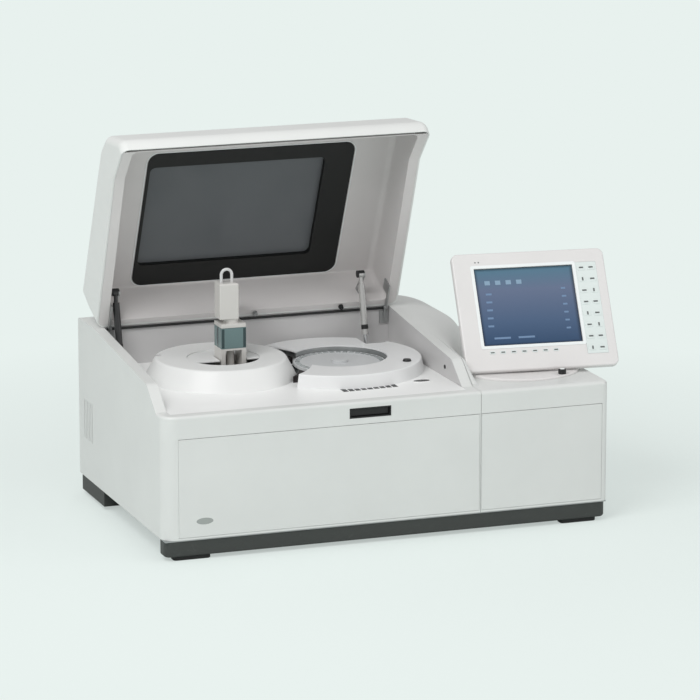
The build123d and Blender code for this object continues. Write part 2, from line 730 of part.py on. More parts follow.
with BuildPart() as deck_plate:
    slab(
        LIP_W + FIT, MAIN_W - LIP_W - FIT, WELL_FRONT_Y + FIT, WELL_BACK_Y - FIT, DECK_Z - DECK_T, DECK_Z
    )
    with BuildSketch(level(DECK_Z)):
        with Locations((DRUM_X, DRUM_Y)):
            Circle(BOWL_R + SEAM)
        with Locations((REACT_X, REACT_Y)):
            Circle(DISH_R + BATH_T + SEAM)
        with Locations(*[(x, SLOT_Y_MID) for x in STRUT_X]):
            SlotOverall(SLOT_Y_LEN, STRUT_SLOT_W, rotation=90)
        with Locations((PORT_VIEW_X, PORT_VIEW_Y)):
            Ellipse(PORT_VIEW_RX, PORT_VIEW_RY)
    extrude(amount=-DECK_T, mode=Mode.SUBTRACT)
save(deck_plate, "deck_plate")

with BuildPart() as strut_grommets:
    with BuildSketch(level(DECK_Z)):
        with Locations(*[(x, SLOT_Y_MID) for x in STRUT_X]):
            SlotOverall(SLOT_Y_LEN + 2 * WALL, STRUT_SLOT_W + 2 * WALL, rotation=90)
    extrude(amount=PANEL_T)
    with BuildSketch(level(DECK_Z - DECK_T)):
        with Locations(*[(x, SLOT_Y_MID) for x in STRUT_X]):
            SlotOverall(SLOT_Y_LEN - SEAM, STRUT_SLOT_W - SEAM, rotation=90)
    extrude(amount=DECK_T)
    with BuildSketch(level(DECK_Z - DECK_T)):
        with Locations(*[(x, SLOT_Y_MID) for x in STRUT_X]):
            SlotOverall(SLOT_Y_LEN - 2 * WALL, STRUT_SLOT_W - 2 * WALL + SEAM, rotation=90)
    extrude(amount=2 * DECK_T, mode=Mode.SUBTRACT)
save(strut_grommets, "strut_grommets")

with BuildPart() as viewing_port:
    with BuildSketch(level(DECK_Z - DECK_T)):
        with Locations((PORT_VIEW_X, PORT_VIEW_Y)):
            Ellipse(PORT_VIEW_RX - FIT, PORT_VIEW_RY - FIT)
    extrude(amount=DECK_T + SEAM)
save(viewing_port, "viewing_port")

# ---------------------------------------------------------------- reagent drum
TOWER_TO_DRUM = hypot(DRUM_X - TOWER_X, DRUM_Y - TOWER_Y)
DIP_X = TOWER_X + (DRUM_X - TOWER_X) / TOWER_TO_DRUM * ARM_R
DIP_Y = TOWER_Y + (DRUM_Y - TOWER_Y) / TOWER_TO_DRUM * ARM_R

with BuildPart() as drum_cover:
    turned(
        DRUM_X,
        DRUM_Y,
        ((0, DECK_Z), (DRUM_R, DECK_Z), (DRUM_TOP_R, DECK_Z + DRUM_H), (0, DECK_Z + DRUM_H)),
    )
    fillet(drum_cover.edges().sort_by(Axis.Z)[-1], TOP_EDGE_R)
    turned(
        DRUM_X,
        DRUM_Y,
        (
            (0, DECK_Z),
            (DRUM_R - DRUM_T, DECK_Z),
            (DRUM_TOP_R - 2 * DRUM_T, DECK_Z + DRUM_H - DRUM_T),
            (0, DECK_Z + DRUM_H - DRUM_T),
        ),
        Mode.SUBTRACT,
    )
    disc(DRUM_OPEN_X, DRUM_OPEN_Y, DECK_Z, DECK_Z + DRUM_H, DRUM_HOLE_R, Mode.SUBTRACT)
    disc(DIP_X, DIP_Y, DECK_Z, DECK_Z + DRUM_H, NEEDLE_HOLE_R, Mode.SUBTRACT)
save(drum_cover, "drum_cover")

with BuildPart() as drum_bowl:
    turned(
        DRUM_X,
        DRUM_Y,
        (
            (0, BOWL_Z),
            (BOWL_R, BOWL_Z),
            (BOWL_R, DECK_Z),
            (BOWL_FLANGE_R, DECK_Z),
            (BOWL_FLANGE_R, DECK_Z + BOWL_FLANGE_T),
            (BOWL_R - BOWL_T, DECK_Z + BOWL_FLANGE_T),
            (BOWL_R - BOWL_T, BOWL_Z + BOWL_T),
            (HUB_R + WALL, BOWL_Z + BOWL_T),
            (HUB_R + WALL, HUB_TOP_Z - CAROUSEL_T - FIT),
            (HUB_R, HUB_TOP_Z - CAROUSEL_T - FIT),
            (HUB_R, HUB_TOP_Z),
            (0, HUB_TOP_Z),
        ),
    )
    disc(TOWER_X, TOWER_Y, BOWL_Z, HUB_TOP_Z, TOWER_ROD_R + RUN, Mode.SUBTRACT)
save(drum_bowl, "drum_bowl")

with BuildPart() as reagent_carousel:
    with BuildSketch(level(HUB_TOP_Z - CAROUSEL_T)):
        with Locations((DRUM_X, DRUM_Y)):
            Circle(CAROUSEL_R)
            Circle(HUB_R + RUN, mode=Mode.SUBTRACT)
    extrude(amount=CAROUSEL_T)
    with BuildSketch(level(HUB_TOP_Z)):
        with Locations((DRUM_X, DRUM_Y)):
            Circle(CAROUSEL_R)
            Circle(CAROUSEL_R - PANEL_T, mode=Mode.SUBTRACT)
            Circle(BOTTLE_PITCH_R + BOTTLE_R + PANEL_T * 2)
            Circle(BOTTLE_PITCH_R + BOTTLE_R + PANEL_T, mode=Mode.SUBTRACT)
    extrude(amount=BOTTLE_H / 3)
save(reagent_carousel, "reagent_carousel")

with BuildPart() as reagent_bottles:
    with BuildSketch(level(HUB_TOP_Z)):
        with Locations((DRUM_X, DRUM_Y)):
            with PolarLocations(BOTTLE_PITCH_R, BOTTLE_COUNT):
                Circle(BOTTLE_R)
    extrude(amount=BOTTLE_H)
    fillet(reagent_bottles.edges().group_by(Axis.Z)[-1], BOTTLE_R / 4)
    with BuildSketch(level(HUB_TOP_Z + BOTTLE_H)):
        with Locations((DRUM_X, DRUM_Y)):
            with PolarLocations(BOTTLE_PITCH_R, BOTTLE_COUNT):
                Circle(BOTTLE_R / 2)
    extrude(amount=BOTTLE_R / 2)
save(reagent_bottles, "reagent_bottles")

with BuildPart() as sample_tubes:
    with BuildSketch(level(HUB_TOP_Z)):
        with Locations((DRUM_X, DRUM_Y)):
            with PolarLocations(TUBE_PITCH_R, TUBE_COUNT):
                Circle(TUBE_R)
    extrude(amount=TUBE_H)
    with BuildSketch(level(HUB_TOP_Z + TUBE_R)):
        with Locations((DRUM_X, DRUM_Y)):
            with PolarLocations(TUBE_PITCH_R, TUBE_COUNT):
                Circle(TUBE_R - SEAM)
    extrude(amount=TUBE_H, mode=Mode.SUBTRACT)
save(sample_tubes, "sample_tubes")

with BuildPart() as carousel_motor:
    disc(DRUM_X, DRUM_Y - BOWL_R / 2, BOWL_Z - MOTOR_H, BOWL_Z, MOTOR_R)
save(carousel_motor, "carousel_motor")

# ---------------------------------------------------------------- reaction rotor
with BuildPart() as reaction_cover:
    turned(
        RISER_X,
        REACT_Y,
        ((0, DECK_Z), (RISER_R, DECK_Z), (RISER_TOP_R, RISER_TOP_Z), (0, RISER_TOP_Z)),
    )
    fillet(reaction_cover.edges().sort_by(Axis.Z)[-1], RISER_T)
    turned(
        RISER_X,
        REACT_Y,
        (
            (0, DECK_Z),
            (RISER_R - RISER_T, DECK_Z),
            (RISER_TOP_R - RISER_T, RISER_TOP_Z - RISER_T),
            (0, RISER_TOP_Z - RISER_T),
        ),
        Mode.SUBTRACT,
    )
    disc(REACT_X, REACT_Y, DECK_Z, RISER_TOP_Z, DISH_R, Mode.SUBTRACT)
    disc(DRUM_X, DRUM_Y, DECK_Z, RISER_TOP_Z, MECH_R, Mode.SUBTRACT)
    slab(
        STRUT_X[1] - STRUT_SLOT_W / 2 - 2 * WALL,
        STRUT_X[1] + STRUT_SLOT_W,
        STRUT_SLOT_Y[0] - 2 * WALL,
        STRUT_SLOT_Y[1] + 2 * WALL,
        DECK_Z,
        RISER_TOP_Z,
        Mode.SUBTRACT,
    )
save(reaction_cover, "reaction_cover")

with BuildPart() as reaction_bowl:
    turned(
        REACT_X,
        REACT_Y,
        (
            (0, BATH_Z),
            (DISH_R + BATH_T, BATH_Z),
            (DISH_R + BATH_T, DECK_Z),
            (DISH_R + BATH_T + BATH_FLANGE, DECK_Z),
            (DISH_R + BATH_T + BATH_FLANGE, DECK_Z + PANEL_T),
            (DISH_R + BATH_T, DECK_Z + PANEL_T),
            (DISH_R + BATH_T, RISER_TOP_Z - RISER_T - FIT),
            (DISH_R, RISER_TOP_Z - RISER_T - FIT),
            (DISH_R, BATH_Z + BATH_T),
            (0, BATH_Z + BATH_T),
        ),
    )
    disc(REACT_X, REACT_Y, BATH_Z, BATH_Z + BATH_T, TOWER_ROD_R + RUN, Mode.SUBTRACT)
    disc(DRUM_X, DRUM_Y, DECK_Z, RISER_TOP_Z, MECH_R, Mode.SUBTRACT)
save(reaction_bowl, "reaction_bowl")

with BuildPart() as reaction_disk:
    with BuildSketch(level(ROTOR_Z)):
        with Locations((REACT_X, REACT_Y)):
            Circle(ROTOR_R)
            with PolarLocations(CUVETTE_PITCH_R, CUVETTE_COUNT):
                Rectangle(CUVETTE_W + 2 * FIT, CUVETTE_W + 2 * FIT, mode=Mode.SUBTRACT)
    extrude(amount=-ROTOR_T)
    disc(REACT_X, REACT_Y, ROTOR_Z, ROTOR_Z + ROTOR_T, 2 * TOWER_ROD_R)
    fillet(reaction_disk.edges().group_by(Axis.Z)[-1], SEAM)
    disc(REACT_X, REACT_Y, BATH_Z - MOTOR_H / 2, ROTOR_Z, TOWER_ROD_R)
save(reaction_disk, "reaction_disk")

with BuildPart() as cuvettes:
    with BuildSketch(level(ROTOR_Z + SEAM)):
        with Locations((REACT_X, REACT_Y)):
            with PolarLocations(CUVETTE_PITCH_R, CUVETTE_COUNT):
                Rectangle(CUVETTE_W, CUVETTE_W)
    extrude(amount=-CUVETTE_H)
    with BuildSketch(level(ROTOR_Z + SEAM)):
        with Locations((REACT_X, REACT_Y)):
            with PolarLocations(CUVETTE_PITCH_R, CUVETTE_COUNT):
                Rectangle(CUVETTE_W + 2 * SEAM, CUVETTE_W + 2 * SEAM)
    extrude(amount=-SEAM)
    with BuildSketch(level(ROTOR_Z + SEAM)):
        with Locations((REACT_X, REACT_Y)):
            with PolarLocations(CUVETTE_PITCH_R, CUVETTE_COUNT):
                Rectangle(CUVETTE_W - 2 * CUVETTE_WALL, CUVETTE_W - 2 * CUVETTE_WALL)
    extrude(amount=CUVETTE_WALL - CUVETTE_H, mode=Mode.SUBTRACT)
save(cuvettes, "cuvettes")

with BuildPart() as reaction_motor:
    disc(REACT_X, REACT_Y, BATH_Z - MOTOR_H, BATH_Z, MOTOR_R)
    disc(REACT_X, REACT_Y, BATH_Z - MOTOR_H / 2, BATH_Z, TOWER_ROD_R + RUN, Mode.SUBTRACT)
save(reaction_motor, "reaction_motor")

with BuildPart() as photometer:
    slab(
        REACT_X - PHOTOMETER_W / 2,
        REACT_X + PHOTOMETER_W / 2,
        REACT_Y + DISH_R + BATH_T + PHOTOMETER_GAP,
        REACT_Y + DISH_R + BATH_T + PHOTOMETER_GAP + PHOTOMETER_L,
        BATH_Z,
        DECK_Z - 2 * DECK_T,
    )
    chamfer(photometer.edges().filter_by(Axis.Z), WALL)
save(photometer, "photometer")

with BuildPart() as wash_station:
    with BuildSketch(level(DECK_Z)) as wash_base:
        with Locations((DRUM_X, DRUM_Y)):
            Circle(MECH_R - SEAM)
            Circle(DRUM_CUT_R, mode=Mode.SUBTRACT)
        with Locations((RISER_X, REACT_Y)):
            Circle(RISER_R - 2 * RISER_T, mode=Mode.INTERSECT)
        with Locations((REACT_X, REACT_Y)):
            Circle(DISH_R + BATH_T + BATH_FLANGE + SEAM, mode=Mode.SUBTRACT)
        with Locations((DRUM_X + MECH_R, DRUM_Y)):
            Rectangle(MECH_R, WASH_SPAN, mode=Mode.INTERSECT)
    extrude(amount=RISER_H / 2)
save(wash_station, "wash_station")

# ---------------------------------------------------------------- sampling tower
REST_BEARING = 70.0


def tower_block(rise0, rise1, wide, deep, shift=0.0, mode=Mode.ADD):
    slab(
        TOWER_X + shift - wide / 2,
        TOWER_X + shift + wide / 2,
        TOWER_Y - deep / 2,
        TOWER_Y + deep / 2,
        DECK_Z + rise0,
        DECK_Z + rise1,
        mode,
    )


with BuildPart() as probe_mast:
    tower_block(TOWER_FOOT_RISE, TOWER_FOOT_RISE + WALL, TOWER_W, TOWER_D)
    tower_block(TOWER_FOOT_RISE, WINDOW_RISE - FIT, TOWER_W, TOWER_D)
    tower_block(
        TOWER_FOOT_RISE + WALL,
        WINDOW_RISE - FIT - WALL,
        TOWER_W - 2 * TOWER_LEG_W,
        TOWER_D,
        mode=Mode.SUBTRACT,
    )
    disc(TOWER_X, TOWER_Y, TOWER_FOOT_Z - TOWER_ROD_DROP, TOWER_TOP_Z, TOWER_ROD_R)
    tower_block(TOWER_TOP_RISE - 2 * WALL, TOWER_TOP_RISE, TOWER_W, TOWER_D)
    chamfer(probe_mast.edges().filter_by(Axis.Z).group_by(Axis.Z)[-1], SEAM)
    disc(TOWER_X, TOWER_Y, TOWER_TOP_Z, HEAD_Z - FIT, 2 * TOWER_ROD_R)
    disc(TOWER_X, TOWER_Y, TOWER_TOP_Z, HEAD_Z + 2 * TOWER_ROD_R, TOWER_ROD_R)
save(probe_mast, "probe_mast")

with BuildPart() as mast_window:
    window_top = TOWER_TOP_RISE - 2 * WALL - FIT
    tower_block(WINDOW_RISE, window_top, TOWER_W, TOWER_D)
    tower_block(WINDOW_RISE, window_top, TOWER_W - 2 * WALL, TOWER_D - 2 * WALL, mode=Mode.SUBTRACT)
    fillet(mast_window.edges().filter_by(Axis.Z), SEAM)
save(mast_window, "mast_window")

ARM_PLANE = Plane(
    origin=at(TOWER_X, TOWER_Y, HEAD_Z),
    x_dir=(cos(radians(REST_BEARING)), sin(radians(REST_BEARING)), 0),
    z_dir=(0, 0, 1),
)

with BuildPart() as probe_arm:
    tower_block(HEAD_RISE, HEAD_RISE + HEAD_H, HEAD_W, HEAD_D, HEAD_SHIFT)
    fillet(probe_arm.edges().filter_by(Axis.Z), 2 * SEAM)
    fillet(probe_arm.edges().group_by(Axis.Z)[-1], WALL)
    with BuildSketch(ARM_PLANE):
        with Locations((ARM_R / 2, 0)):
            SlotOverall(ARM_R + ARM_W, ARM_W)
    extrude(amount=ARM_H)
    disc(TOWER_X, TOWER_Y, HEAD_Z, HEAD_Z + 2 * TOWER_ROD_R + SEAM, TOWER_ROD_R + RUN, Mode.SUBTRACT)
    with BuildSketch(ARM_PLANE):
        with Locations((ARM_R, 0)):
            Circle(NEEDLE_R + RUN)
    extrude(amount=ARM_H / 2, mode=Mode.SUBTRACT)
save(probe_arm, "probe_arm")

with BuildPart() as probe_needle:
    with BuildSketch(ARM_PLANE.offset(ARM_H / 2)):
        with Locations((ARM_R, 0)):
            Circle(NEEDLE_R)
    extrude(amount=-(ARM_H / 2 + NEEDLE_REACH))
save(probe_needle, "probe_needle")

LOOP_Z = HEAD_Z + HEAD_H + LOOP_RISE

LOOP_PLANE = Plane(origin=at(TOWER_X + HEAD_SHIFT, TOWER_Y, LOOP_Z), x_dir=(1, 0, 0), z_dir=(0, -1, 0))

with BuildPart() as tubing_loop:
    with BuildLine(LOOP_PLANE) as loop:
        Line((-LOOP_R, -LOOP_RISE), (-LOOP_R, 0))
        ThreePointArc((-LOOP_R, 0), (0, LOOP_R), (LOOP_R, 0))
        Line((LOOP_R, 0), (LOOP_R, -LOOP_RISE))
    with BuildSketch(Plane(origin=at(TOWER_X + HEAD_SHIFT - LOOP_R, TOWER_Y, LOOP_Z - LOOP_RISE))):
        Circle(LOOP_TUBE_R)
    sweep(path=loop.line)
save(tubing_loop, "tubing_loop")

# ---------------------------------------------------------------- lid
LID_OUTLINE = (
    (LID_BACK_U, LID_RIM_V),
    (RIM_KINK_U, LID_RIM_V),
    (LID_TIP_U, LID_TIP_V),
    (LID_FRONT_U, LID_FRONT_V),
    (LID_BROW_U, LID_BROW_V),
    (LID_TOP_U, LID_HEIGHT_V - LID_TOP_U * tan(radians(LID_TAPER))),
    (LID_SHOULDER_U, LID_HEIGHT_V - LID_SHOULDER_U * tan(radians(LID_TAPER))),
    (LID_BACK_U, LID_HEIGHT_V / 2),
)
LID_ROUNDING = (
    0,
    0,
    0,
    2 * SIDE_ROUND,
    2 * SIDE_ROUND,
    2.5 * SIDE_ROUND,
    SIDE_ROUND + SEAM,
    0,
)


def lid_profile(inset):
    """The lid's side outline, moved inwards."""
    with BuildSketch() as profile:
        Polygon(*LID_OUTLINE, align=None)
        for corner, radius in reversed(list(zip(LID_OUTLINE, LID_ROUNDING))):
            if radius:
                fillet(profile.vertices().sort_by_distance(corner)[0], radius)
        if inset:
            offset(amount=-inset, kind=Kind.INTERSECTION, mode=Mode.REPLACE)
    return profile.sketch


def rim_v(u):
    """The rim line: straight along the sides, then dropping towards the front."""
    beyond = max(0, u - RIM_KINK_U) / (LID_TIP_U - RIM_KINK_U)
    return LID_RIM_V + beyond * (LID_TIP_V - LID_RIM_V)


def above_rim(edge):
    """How far an edge's middle lies above the rim line."""
    middle = lid_side(0).to_local_coords(edge @ 0.5)
    return middle.Y - rim_v(middle.X)


def lid_block(inset, x0, x1, rounding, drop=0.0):
    """A solid of the inset lid outline between two x places, its ends rounded except along
    the rim; with a drop, a second copy lower down opens it through the rim."""
    with BuildPart() as block:
        extrude(lid_side(x1) * lid_profile(inset), amount=x1 - x0, dir=(-1, 0, 0))
        ends = block.faces().filter_by(Axis.X).edges()
        fillet([edge for edge in ends if above_rim(edge) > inset * 2 + SEAM], rounding)
        if drop:
            add(block.part.moved(Location(lid_side(0).y_dir * -drop)))
    return block.part


WINDOW_PITCH = radians(LID_LEAN + LID_TAPER)
CEILING_V = LID_HEIGHT_V - LINER_GAP / cos(radians(LID_TAPER))
LID_OUT = Vector(0, cos(radians(LID_LEAN)), sin(radians(LID_LEAN)))
WINDOW_PLANE = Plane(
    origin=Vector(*at(0, AXIS_Y, AXIS_Z)) + LID_OUT * CEILING_V,
    x_dir=(1, 0, 0),
    z_dir=(0, -cos(WINDOW_PITCH), -sin(WINDOW_PITCH)),
)


def window_cut(grow):
    with BuildSketch(WINDOW_PLANE.offset(LINER_GAP)) as hole:
        with Locations((WINDOW_X, WINDOW_U)):
            RectangleRounded(WINDOW_W + 2 * grow, WINDOW_H + 2 * grow, WINDOW_R + grow)
    extrude(hole.sketch, amount=-3 * LINER_GAP, mode=Mode.SUBTRACT)


with BuildPart() as lid_shell:
    add(lid_block(0, LID_SIDE, LID_RIGHT, SIDE_ROUND))
    add(
        lid_block(LID_T, LID_SIDE + LID_T, LID_RIGHT - LID_T, SIDE_ROUND - LID_T, LID_T + SEAM),
        mode=Mode.SUBTRACT,
    )
    window_cut(FIT)
save(lid_shell, "lid_shell")

LINER_X0 = LID_SIDE + LINER_SIDE
LINER_X1 = LID_RIGHT - LINER_SIDE
RIM_END_U = LID_TIP_U - 2 * LID_T
RIM_FAR_U = LID_TIP_U + LID_HEIGHT_V

with BuildPart() as rim_band:
    prism(
        lid_side(LID_RIGHT - LID_T - FIT),
        (
            (LID_BACK_U + LID_T + FIT, LID_RIM_V),
            (RIM_KINK_U, LID_RIM_V),
            (RIM_END_U, rim_v(RIM_END_U)),
            (RIM_END_U, rim_v(RIM_END_U) + RIM_T),
            (RIM_KINK_U, LID_RIM_V + RIM_T),
            (LID_BACK_U + LID_T + FIT, LID_RIM_V + RIM_T),
        ),
        LID_RIGHT - LID_SIDE - 2 * LID_T - 2 * FIT,
    )
    add(
        lid_block(
            LID_T + FIT,
            LID_SIDE + LID_T + FIT,
            LID_RIGHT - LID_T - FIT,
            SIDE_ROUND - LID_T - FIT,
            LID_T + SEAM,
        ),
        mode=Mode.INTERSECT,
    )

with BuildPart() as lid_liner:
    add(
        lid_block(
            LINER_GAP - LINER_T,
            LINER_X0 - LINER_T,
            LINER_X1 + LINER_T,
            LINER_ROUND + LINER_T,
            LINER_GAP + LINER_T,
        )
    )
    add(rim_band.part)
    add(
        lid_block(LINER_GAP, LINER_X0, LINER_X1, LINER_ROUND, LINER_GAP + LINER_T),
        mode=Mode.SUBTRACT,
    )
    prism(
        lid_side(MAIN_W),
        (
            (-LID_HEIGHT_V, LID_RIM_V),
            (RIM_KINK_U, LID_RIM_V),
            (RIM_FAR_U, rim_v(RIM_FAR_U)),
            (RIM_FAR_U, -LID_HEIGHT_V),
            (-LID_HEIGHT_V, -LID_HEIGHT_V),
        ),
        MAIN_W,
        Mode.SUBTRACT,
    )
    window_cut(FIT)
save(lid_liner, "lid_liner")

with BuildPart() as window_frame:
    with BuildSketch(WINDOW_PLANE.offset(FRAME_FLANGE)):
        with Locations((WINDOW_X, WINDOW_U)):
            RectangleRounded(WINDOW_W + 2 * SEAM, WINDOW_H + 2 * SEAM, WINDOW_R + SEAM)
    extrude(amount=-FRAME_FLANGE)
    with BuildSketch(WINDOW_PLANE):
        with Locations((WINDOW_X, WINDOW_U)):
            RectangleRounded(WINDOW_W, WINDOW_H, WINDOW_R)
    extrude(amount=SEAM - LINER_GAP)
    with BuildSketch(WINDOW_PLANE.offset(FRAME_FLANGE)):
        with Locations((GLASS_X, GLASS_U)):
            RectangleRounded(GLASS_W, GLASS_H, GLASS_R)
    extrude(amount=-2 * LINER_GAP, mode=Mode.SUBTRACT)
    with BuildSketch(WINDOW_PLANE.offset(SEAM - LINER_GAP)):
        with Locations((GLASS_X, GLASS_U)):
            RectangleRounded(GLASS_W + 2 * GLASS_LIP, GLASS_H + 2 * GLASS_LIP, GLASS_R + GLASS_LIP)
    extrude(amount=GLASS_T + FIT, mode=Mode.SUBTRACT)
save(window_frame, "window_frame")

with BuildPart() as window_glass:
    with BuildSketch(WINDOW_PLANE.offset(SEAM - LINER_GAP)):
        with Locations((GLASS_X, GLASS_U)):
            RectangleRounded(
                GLASS_W + 2 * GLASS_LIP - 2 * FIT,
                GLASS_H + 2 * GLASS_LIP - 2 * FIT,
                GLASS_R + GLASS_LIP - FIT,
            )
    extrude(amount=GLASS_T)
save(window_glass, "window_glass")

# ---------------------------------------------------------------- lid hinges
LEAF_X = (LINER_X0 + FIT, LINER_X1 - FIT - HINGE_PLATE_T)
EAR_X = (LEAF_X[0] + HINGE_PLATE_T + FIT, LEAF_X[1] - FIT - HINGE_PLATE_T)

with BuildPart() as hinge_leaves:
    for x in LEAF_X:
        with BuildSketch(lid_side(x + HINGE_PLATE_T)) as leaf:
            Circle(KNUCKLE_R)
            Polygon(
                (0, -KNUCKLE_R),
                (LEAF_U, -KNUCKLE_R),
                (LEAF_U, LEAF_V),
                (LINER_GAP + LINER_ROUND + WALL, LEAF_V),
                (LINER_GAP + LINER_ROUND + WALL, LID_RIM_V - SEAM),
                (0, LID_RIM_V - SEAM),
                align=None,
            )
            Circle(PIN_HOLE_R, mode=Mode.SUBTRACT)
        extrude(leaf.sketch, amount=HINGE_PLATE_T)
save(hinge_leaves, "hinge_leaves")

with BuildPart() as hinge_brackets:
    for x in EAR_X:
        with BuildSketch(along(x)) as ear:
            with Locations((AXIS_Y, AXIS_Z)):
                Circle(KNUCKLE_R)
            Polygon(
                (AXIS_Y - KNUCKLE_R, AXIS_Z),
                (WELL_BACK_Y - FIT, AXIS_Z),
                (WELL_BACK_Y - FIT, AXIS_Z - HINGE_PLATE_H),
                (WELL_BACK_Y - FIT - HINGE_PLATE_T, AXIS_Z - HINGE_PLATE_H),
                align=None,
            )
        extrude(ear.sketch, amount=HINGE_PLATE_T)
        slab(
            x - HINGE_W / 5,
            x + HINGE_W / 5 + HINGE_PLATE_T,
            WELL_BACK_Y - FIT - HINGE_PLATE_T,
            WELL_BACK_Y - FIT,
            AXIS_Z - HINGE_PLATE_H,
            AXIS_Z - 2 * KNUCKLE_R,
        )
    for leaf_x, ear_x in zip(LEAF_X, EAR_X):
        with BuildSketch(along(min(leaf_x, ear_x))) as pin:
            with Locations((AXIS_Y, AXIS_Z)):
                Circle(HINGE_PIN_R)
        extrude(pin.sketch, amount=2 * HINGE_PLATE_T + FIT)
save(hinge_brackets, "hinge_brackets")

# ---------------------------------------------------------------- gas struts
TOP_DY = STRUT_TOP_Y - AXIS_Y
TOP_DZ = STRUT_TOP_Z - AXIS_Z
SHUT = radians(CLOSING)
SHUT_Y = AXIS_Y + TOP_DY * cos(SHUT) - TOP_DZ * sin(SHUT)
SHUT_Z = AXIS_Z + TOP_DY * sin(SHUT) + TOP_DZ * cos(SHUT)
STRUT_OPEN_L = hypot(STRUT_TOP_Y - STRUT_FOOT_Y, STRUT_TOP_Z - STRUT_FOOT_Z)
STRUT_SHUT_L = hypot(SHUT_Y - STRUT_FOOT_Y, SHUT_Z - STRUT_FOOT_Z)
STRUT_LEAN = atan2(STRUT_TOP_Y - STRUT_FOOT_Y, STRUT_TOP_Z - STRUT_FOOT_Z)
STRUT_NECK = 20.0
ROD_L = STRUT_SHUT_L - STRUT_NECK - 2 * WALL
LEAN = radians(LID_LEAN)
TOP_U = TOP_DZ * cos(LEAN) - TOP_DY * sin(LEAN)
TOP_V = TOP_DY * cos(LEAN) + TOP_DZ * sin(LEAN)


def strut_level(x, height):
    """Plane square to a strut, at a height along it from its lower pivot."""
    base = Plane(
        origin=at(x, STRUT_FOOT_Y, STRUT_FOOT_Z),
        x_dir=(1, 0, 0),
        z_dir=(0, sin(STRUT_LEAN), cos(STRUT_LEAN)),
    )
    return base.offset(height)


def strut_eye(x, y, z, bore):
    with BuildSketch(along(x - STRUT_EYE_W / 2)) as eye:
        with Locations((y, z)):
            Circle(STRUT_EYE_R)
    extrude(eye.sketch, amount=STRUT_EYE_W)
    with BuildSketch(along(x - STRUT_EYE_W / 2)) as hole:
        with Locations((y, z)):
            Circle(bore)
    extrude(hole.sketch, amount=STRUT_EYE_W, mode=Mode.SUBTRACT)


def strut_rod(x, name):
    with BuildPart() as rod:
        with BuildSketch(strut_level(x, 0)):
            Circle(STRUT_ROD_R)
        extrude(amount=ROD_L)
        strut_eye(x, STRUT_FOOT_Y, STRUT_FOOT_Z, STRUT_PIN_R + RUN)
    save(rod, name)


def strut_tube(x, name):
    with BuildPart() as tube:
        with BuildSketch(strut_level(x, STRUT_OPEN_L - STRUT_NECK - STRUT_TUBE_L)):
            Circle(STRUT_TUBE_R)
        extrude(amount=STRUT_TUBE_L)
        with BuildSketch(strut_level(x, STRUT_OPEN_L - STRUT_NECK)):
            Circle(STRUT_ROD_R)
        extrude(amount=STRUT_NECK)
        with BuildSketch(strut_level(x, STRUT_OPEN_L - STRUT_NECK - STRUT_TUBE_L)):
            Circle(STRUT_ROD_R + RUN)
        extrude(amount=STRUT_TUBE_L - WALL, mode=Mode.SUBTRACT)
        strut_eye(x, STRUT_TOP_Y, STRUT_TOP_Z, STRUT_PIN_R)
    save(tube, name)


strut_rod(STRUT_X[0], "strut_rod_left")
strut_rod(STRUT_X[1], "strut_rod_right")
strut_tube(STRUT_X[0], "strut_tube_left")
strut_tube(STRUT_X[1], "strut_tube_right")

with BuildPart() as strut_ears:
    for x in STRUT_X:
        with BuildSketch(lid_side(x + STRUT_EYE_W / 2 + FIT + STRUT_EAR_T)) as ear:
            with Locations((TOP_U, TOP_V)):
                Circle(STRUT_EYE_R)
            Polygon(
                (LINER_GAP + LID_BACK_U, TOP_V + WALL),
                (TOP_U - WALL, TOP_V - WALL),
                (TOP_U + WALL, TOP_V + WALL),
                (LINER_GAP + LID_BACK_U, TOP_V + STRUT_EAR_FOOT),
                align=None,
            )
        extrude(ear.sketch, amount=STRUT_EAR_T)
save(strut_ears, "strut_ears")

with BuildPart() as strut_brackets:
    for x in STRUT_X:
        plate_x = x + STRUT_TUBE_R + FIT
        prism(
            along(plate_x),
            (
                (STRUT_FOOT_Y - 2 * WALL, STRUT_FOOT_Z - 2 * WALL),
                (STRUT_FOOT_Y + 2 * WALL, STRUT_FOOT_Z - 2 * WALL),
                (STRUT_FOOT_Y + STRUT_SLOT_W, DECK_Z - DECK_T - FIT),
                (STRUT_FOOT_Y - STRUT_SLOT_W, DECK_Z - DECK_T - FIT),
            ),
            STRUT_EAR_T,
        )
        with BuildSketch(along(x - STRUT_EYE_W / 2)) as pin:
            with Locations((STRUT_FOOT_Y, STRUT_FOOT_Z)):
                Circle(STRUT_PIN_R)
        extrude(pin.sketch, amount=plate_x - x + STRUT_EYE_W / 2)
save(strut_brackets, "strut_brackets")

# ---------------------------------------------------------------- monitor
TURN = radians(MON_SWIVEL)
TILT = radians(MON_TILT)
MON_RIGHT = Vector(cos(TURN), sin(TURN), 0)
MON_BACK = Vector(-sin(TURN), cos(TURN), 0)
MON_UP = MON_BACK * sin(TILT) + Vector(0, 0, cos(TILT))
SWIVEL_AT = Vector(*at(MON_X, MON_Y + SCREEN_BACK, 0))
SCREEN_AT = SWIVEL_AT + Vector(0, 0, DECK_Z + SCREEN_RISE)
SCREEN_PLANE = Plane(origin=SCREEN_AT, x_dir=MON_RIGHT, z_dir=MON_RIGHT.cross(MON_UP))
SCREEN_AXIS = Axis(SCREEN_AT, MON_RIGHT.cross(MON_UP))
PIVOT_AT = SWIVEL_AT + MON_BACK * PIVOT_BACK + Vector(0, 0, DECK_Z + PIVOT_RISE)
YOKE_PLANE = Plane(origin=SWIVEL_AT, x_dir=MON_BACK, z_dir=MON_RIGHT)
CASE_W = CASE_LEFT + CASE_RIGHT
CASE_H = CASE_UP + CASE_DOWN
CASE_MID = ((CASE_RIGHT - CASE_LEFT) / 2, (CASE_UP - CASE_DOWN) / 2)

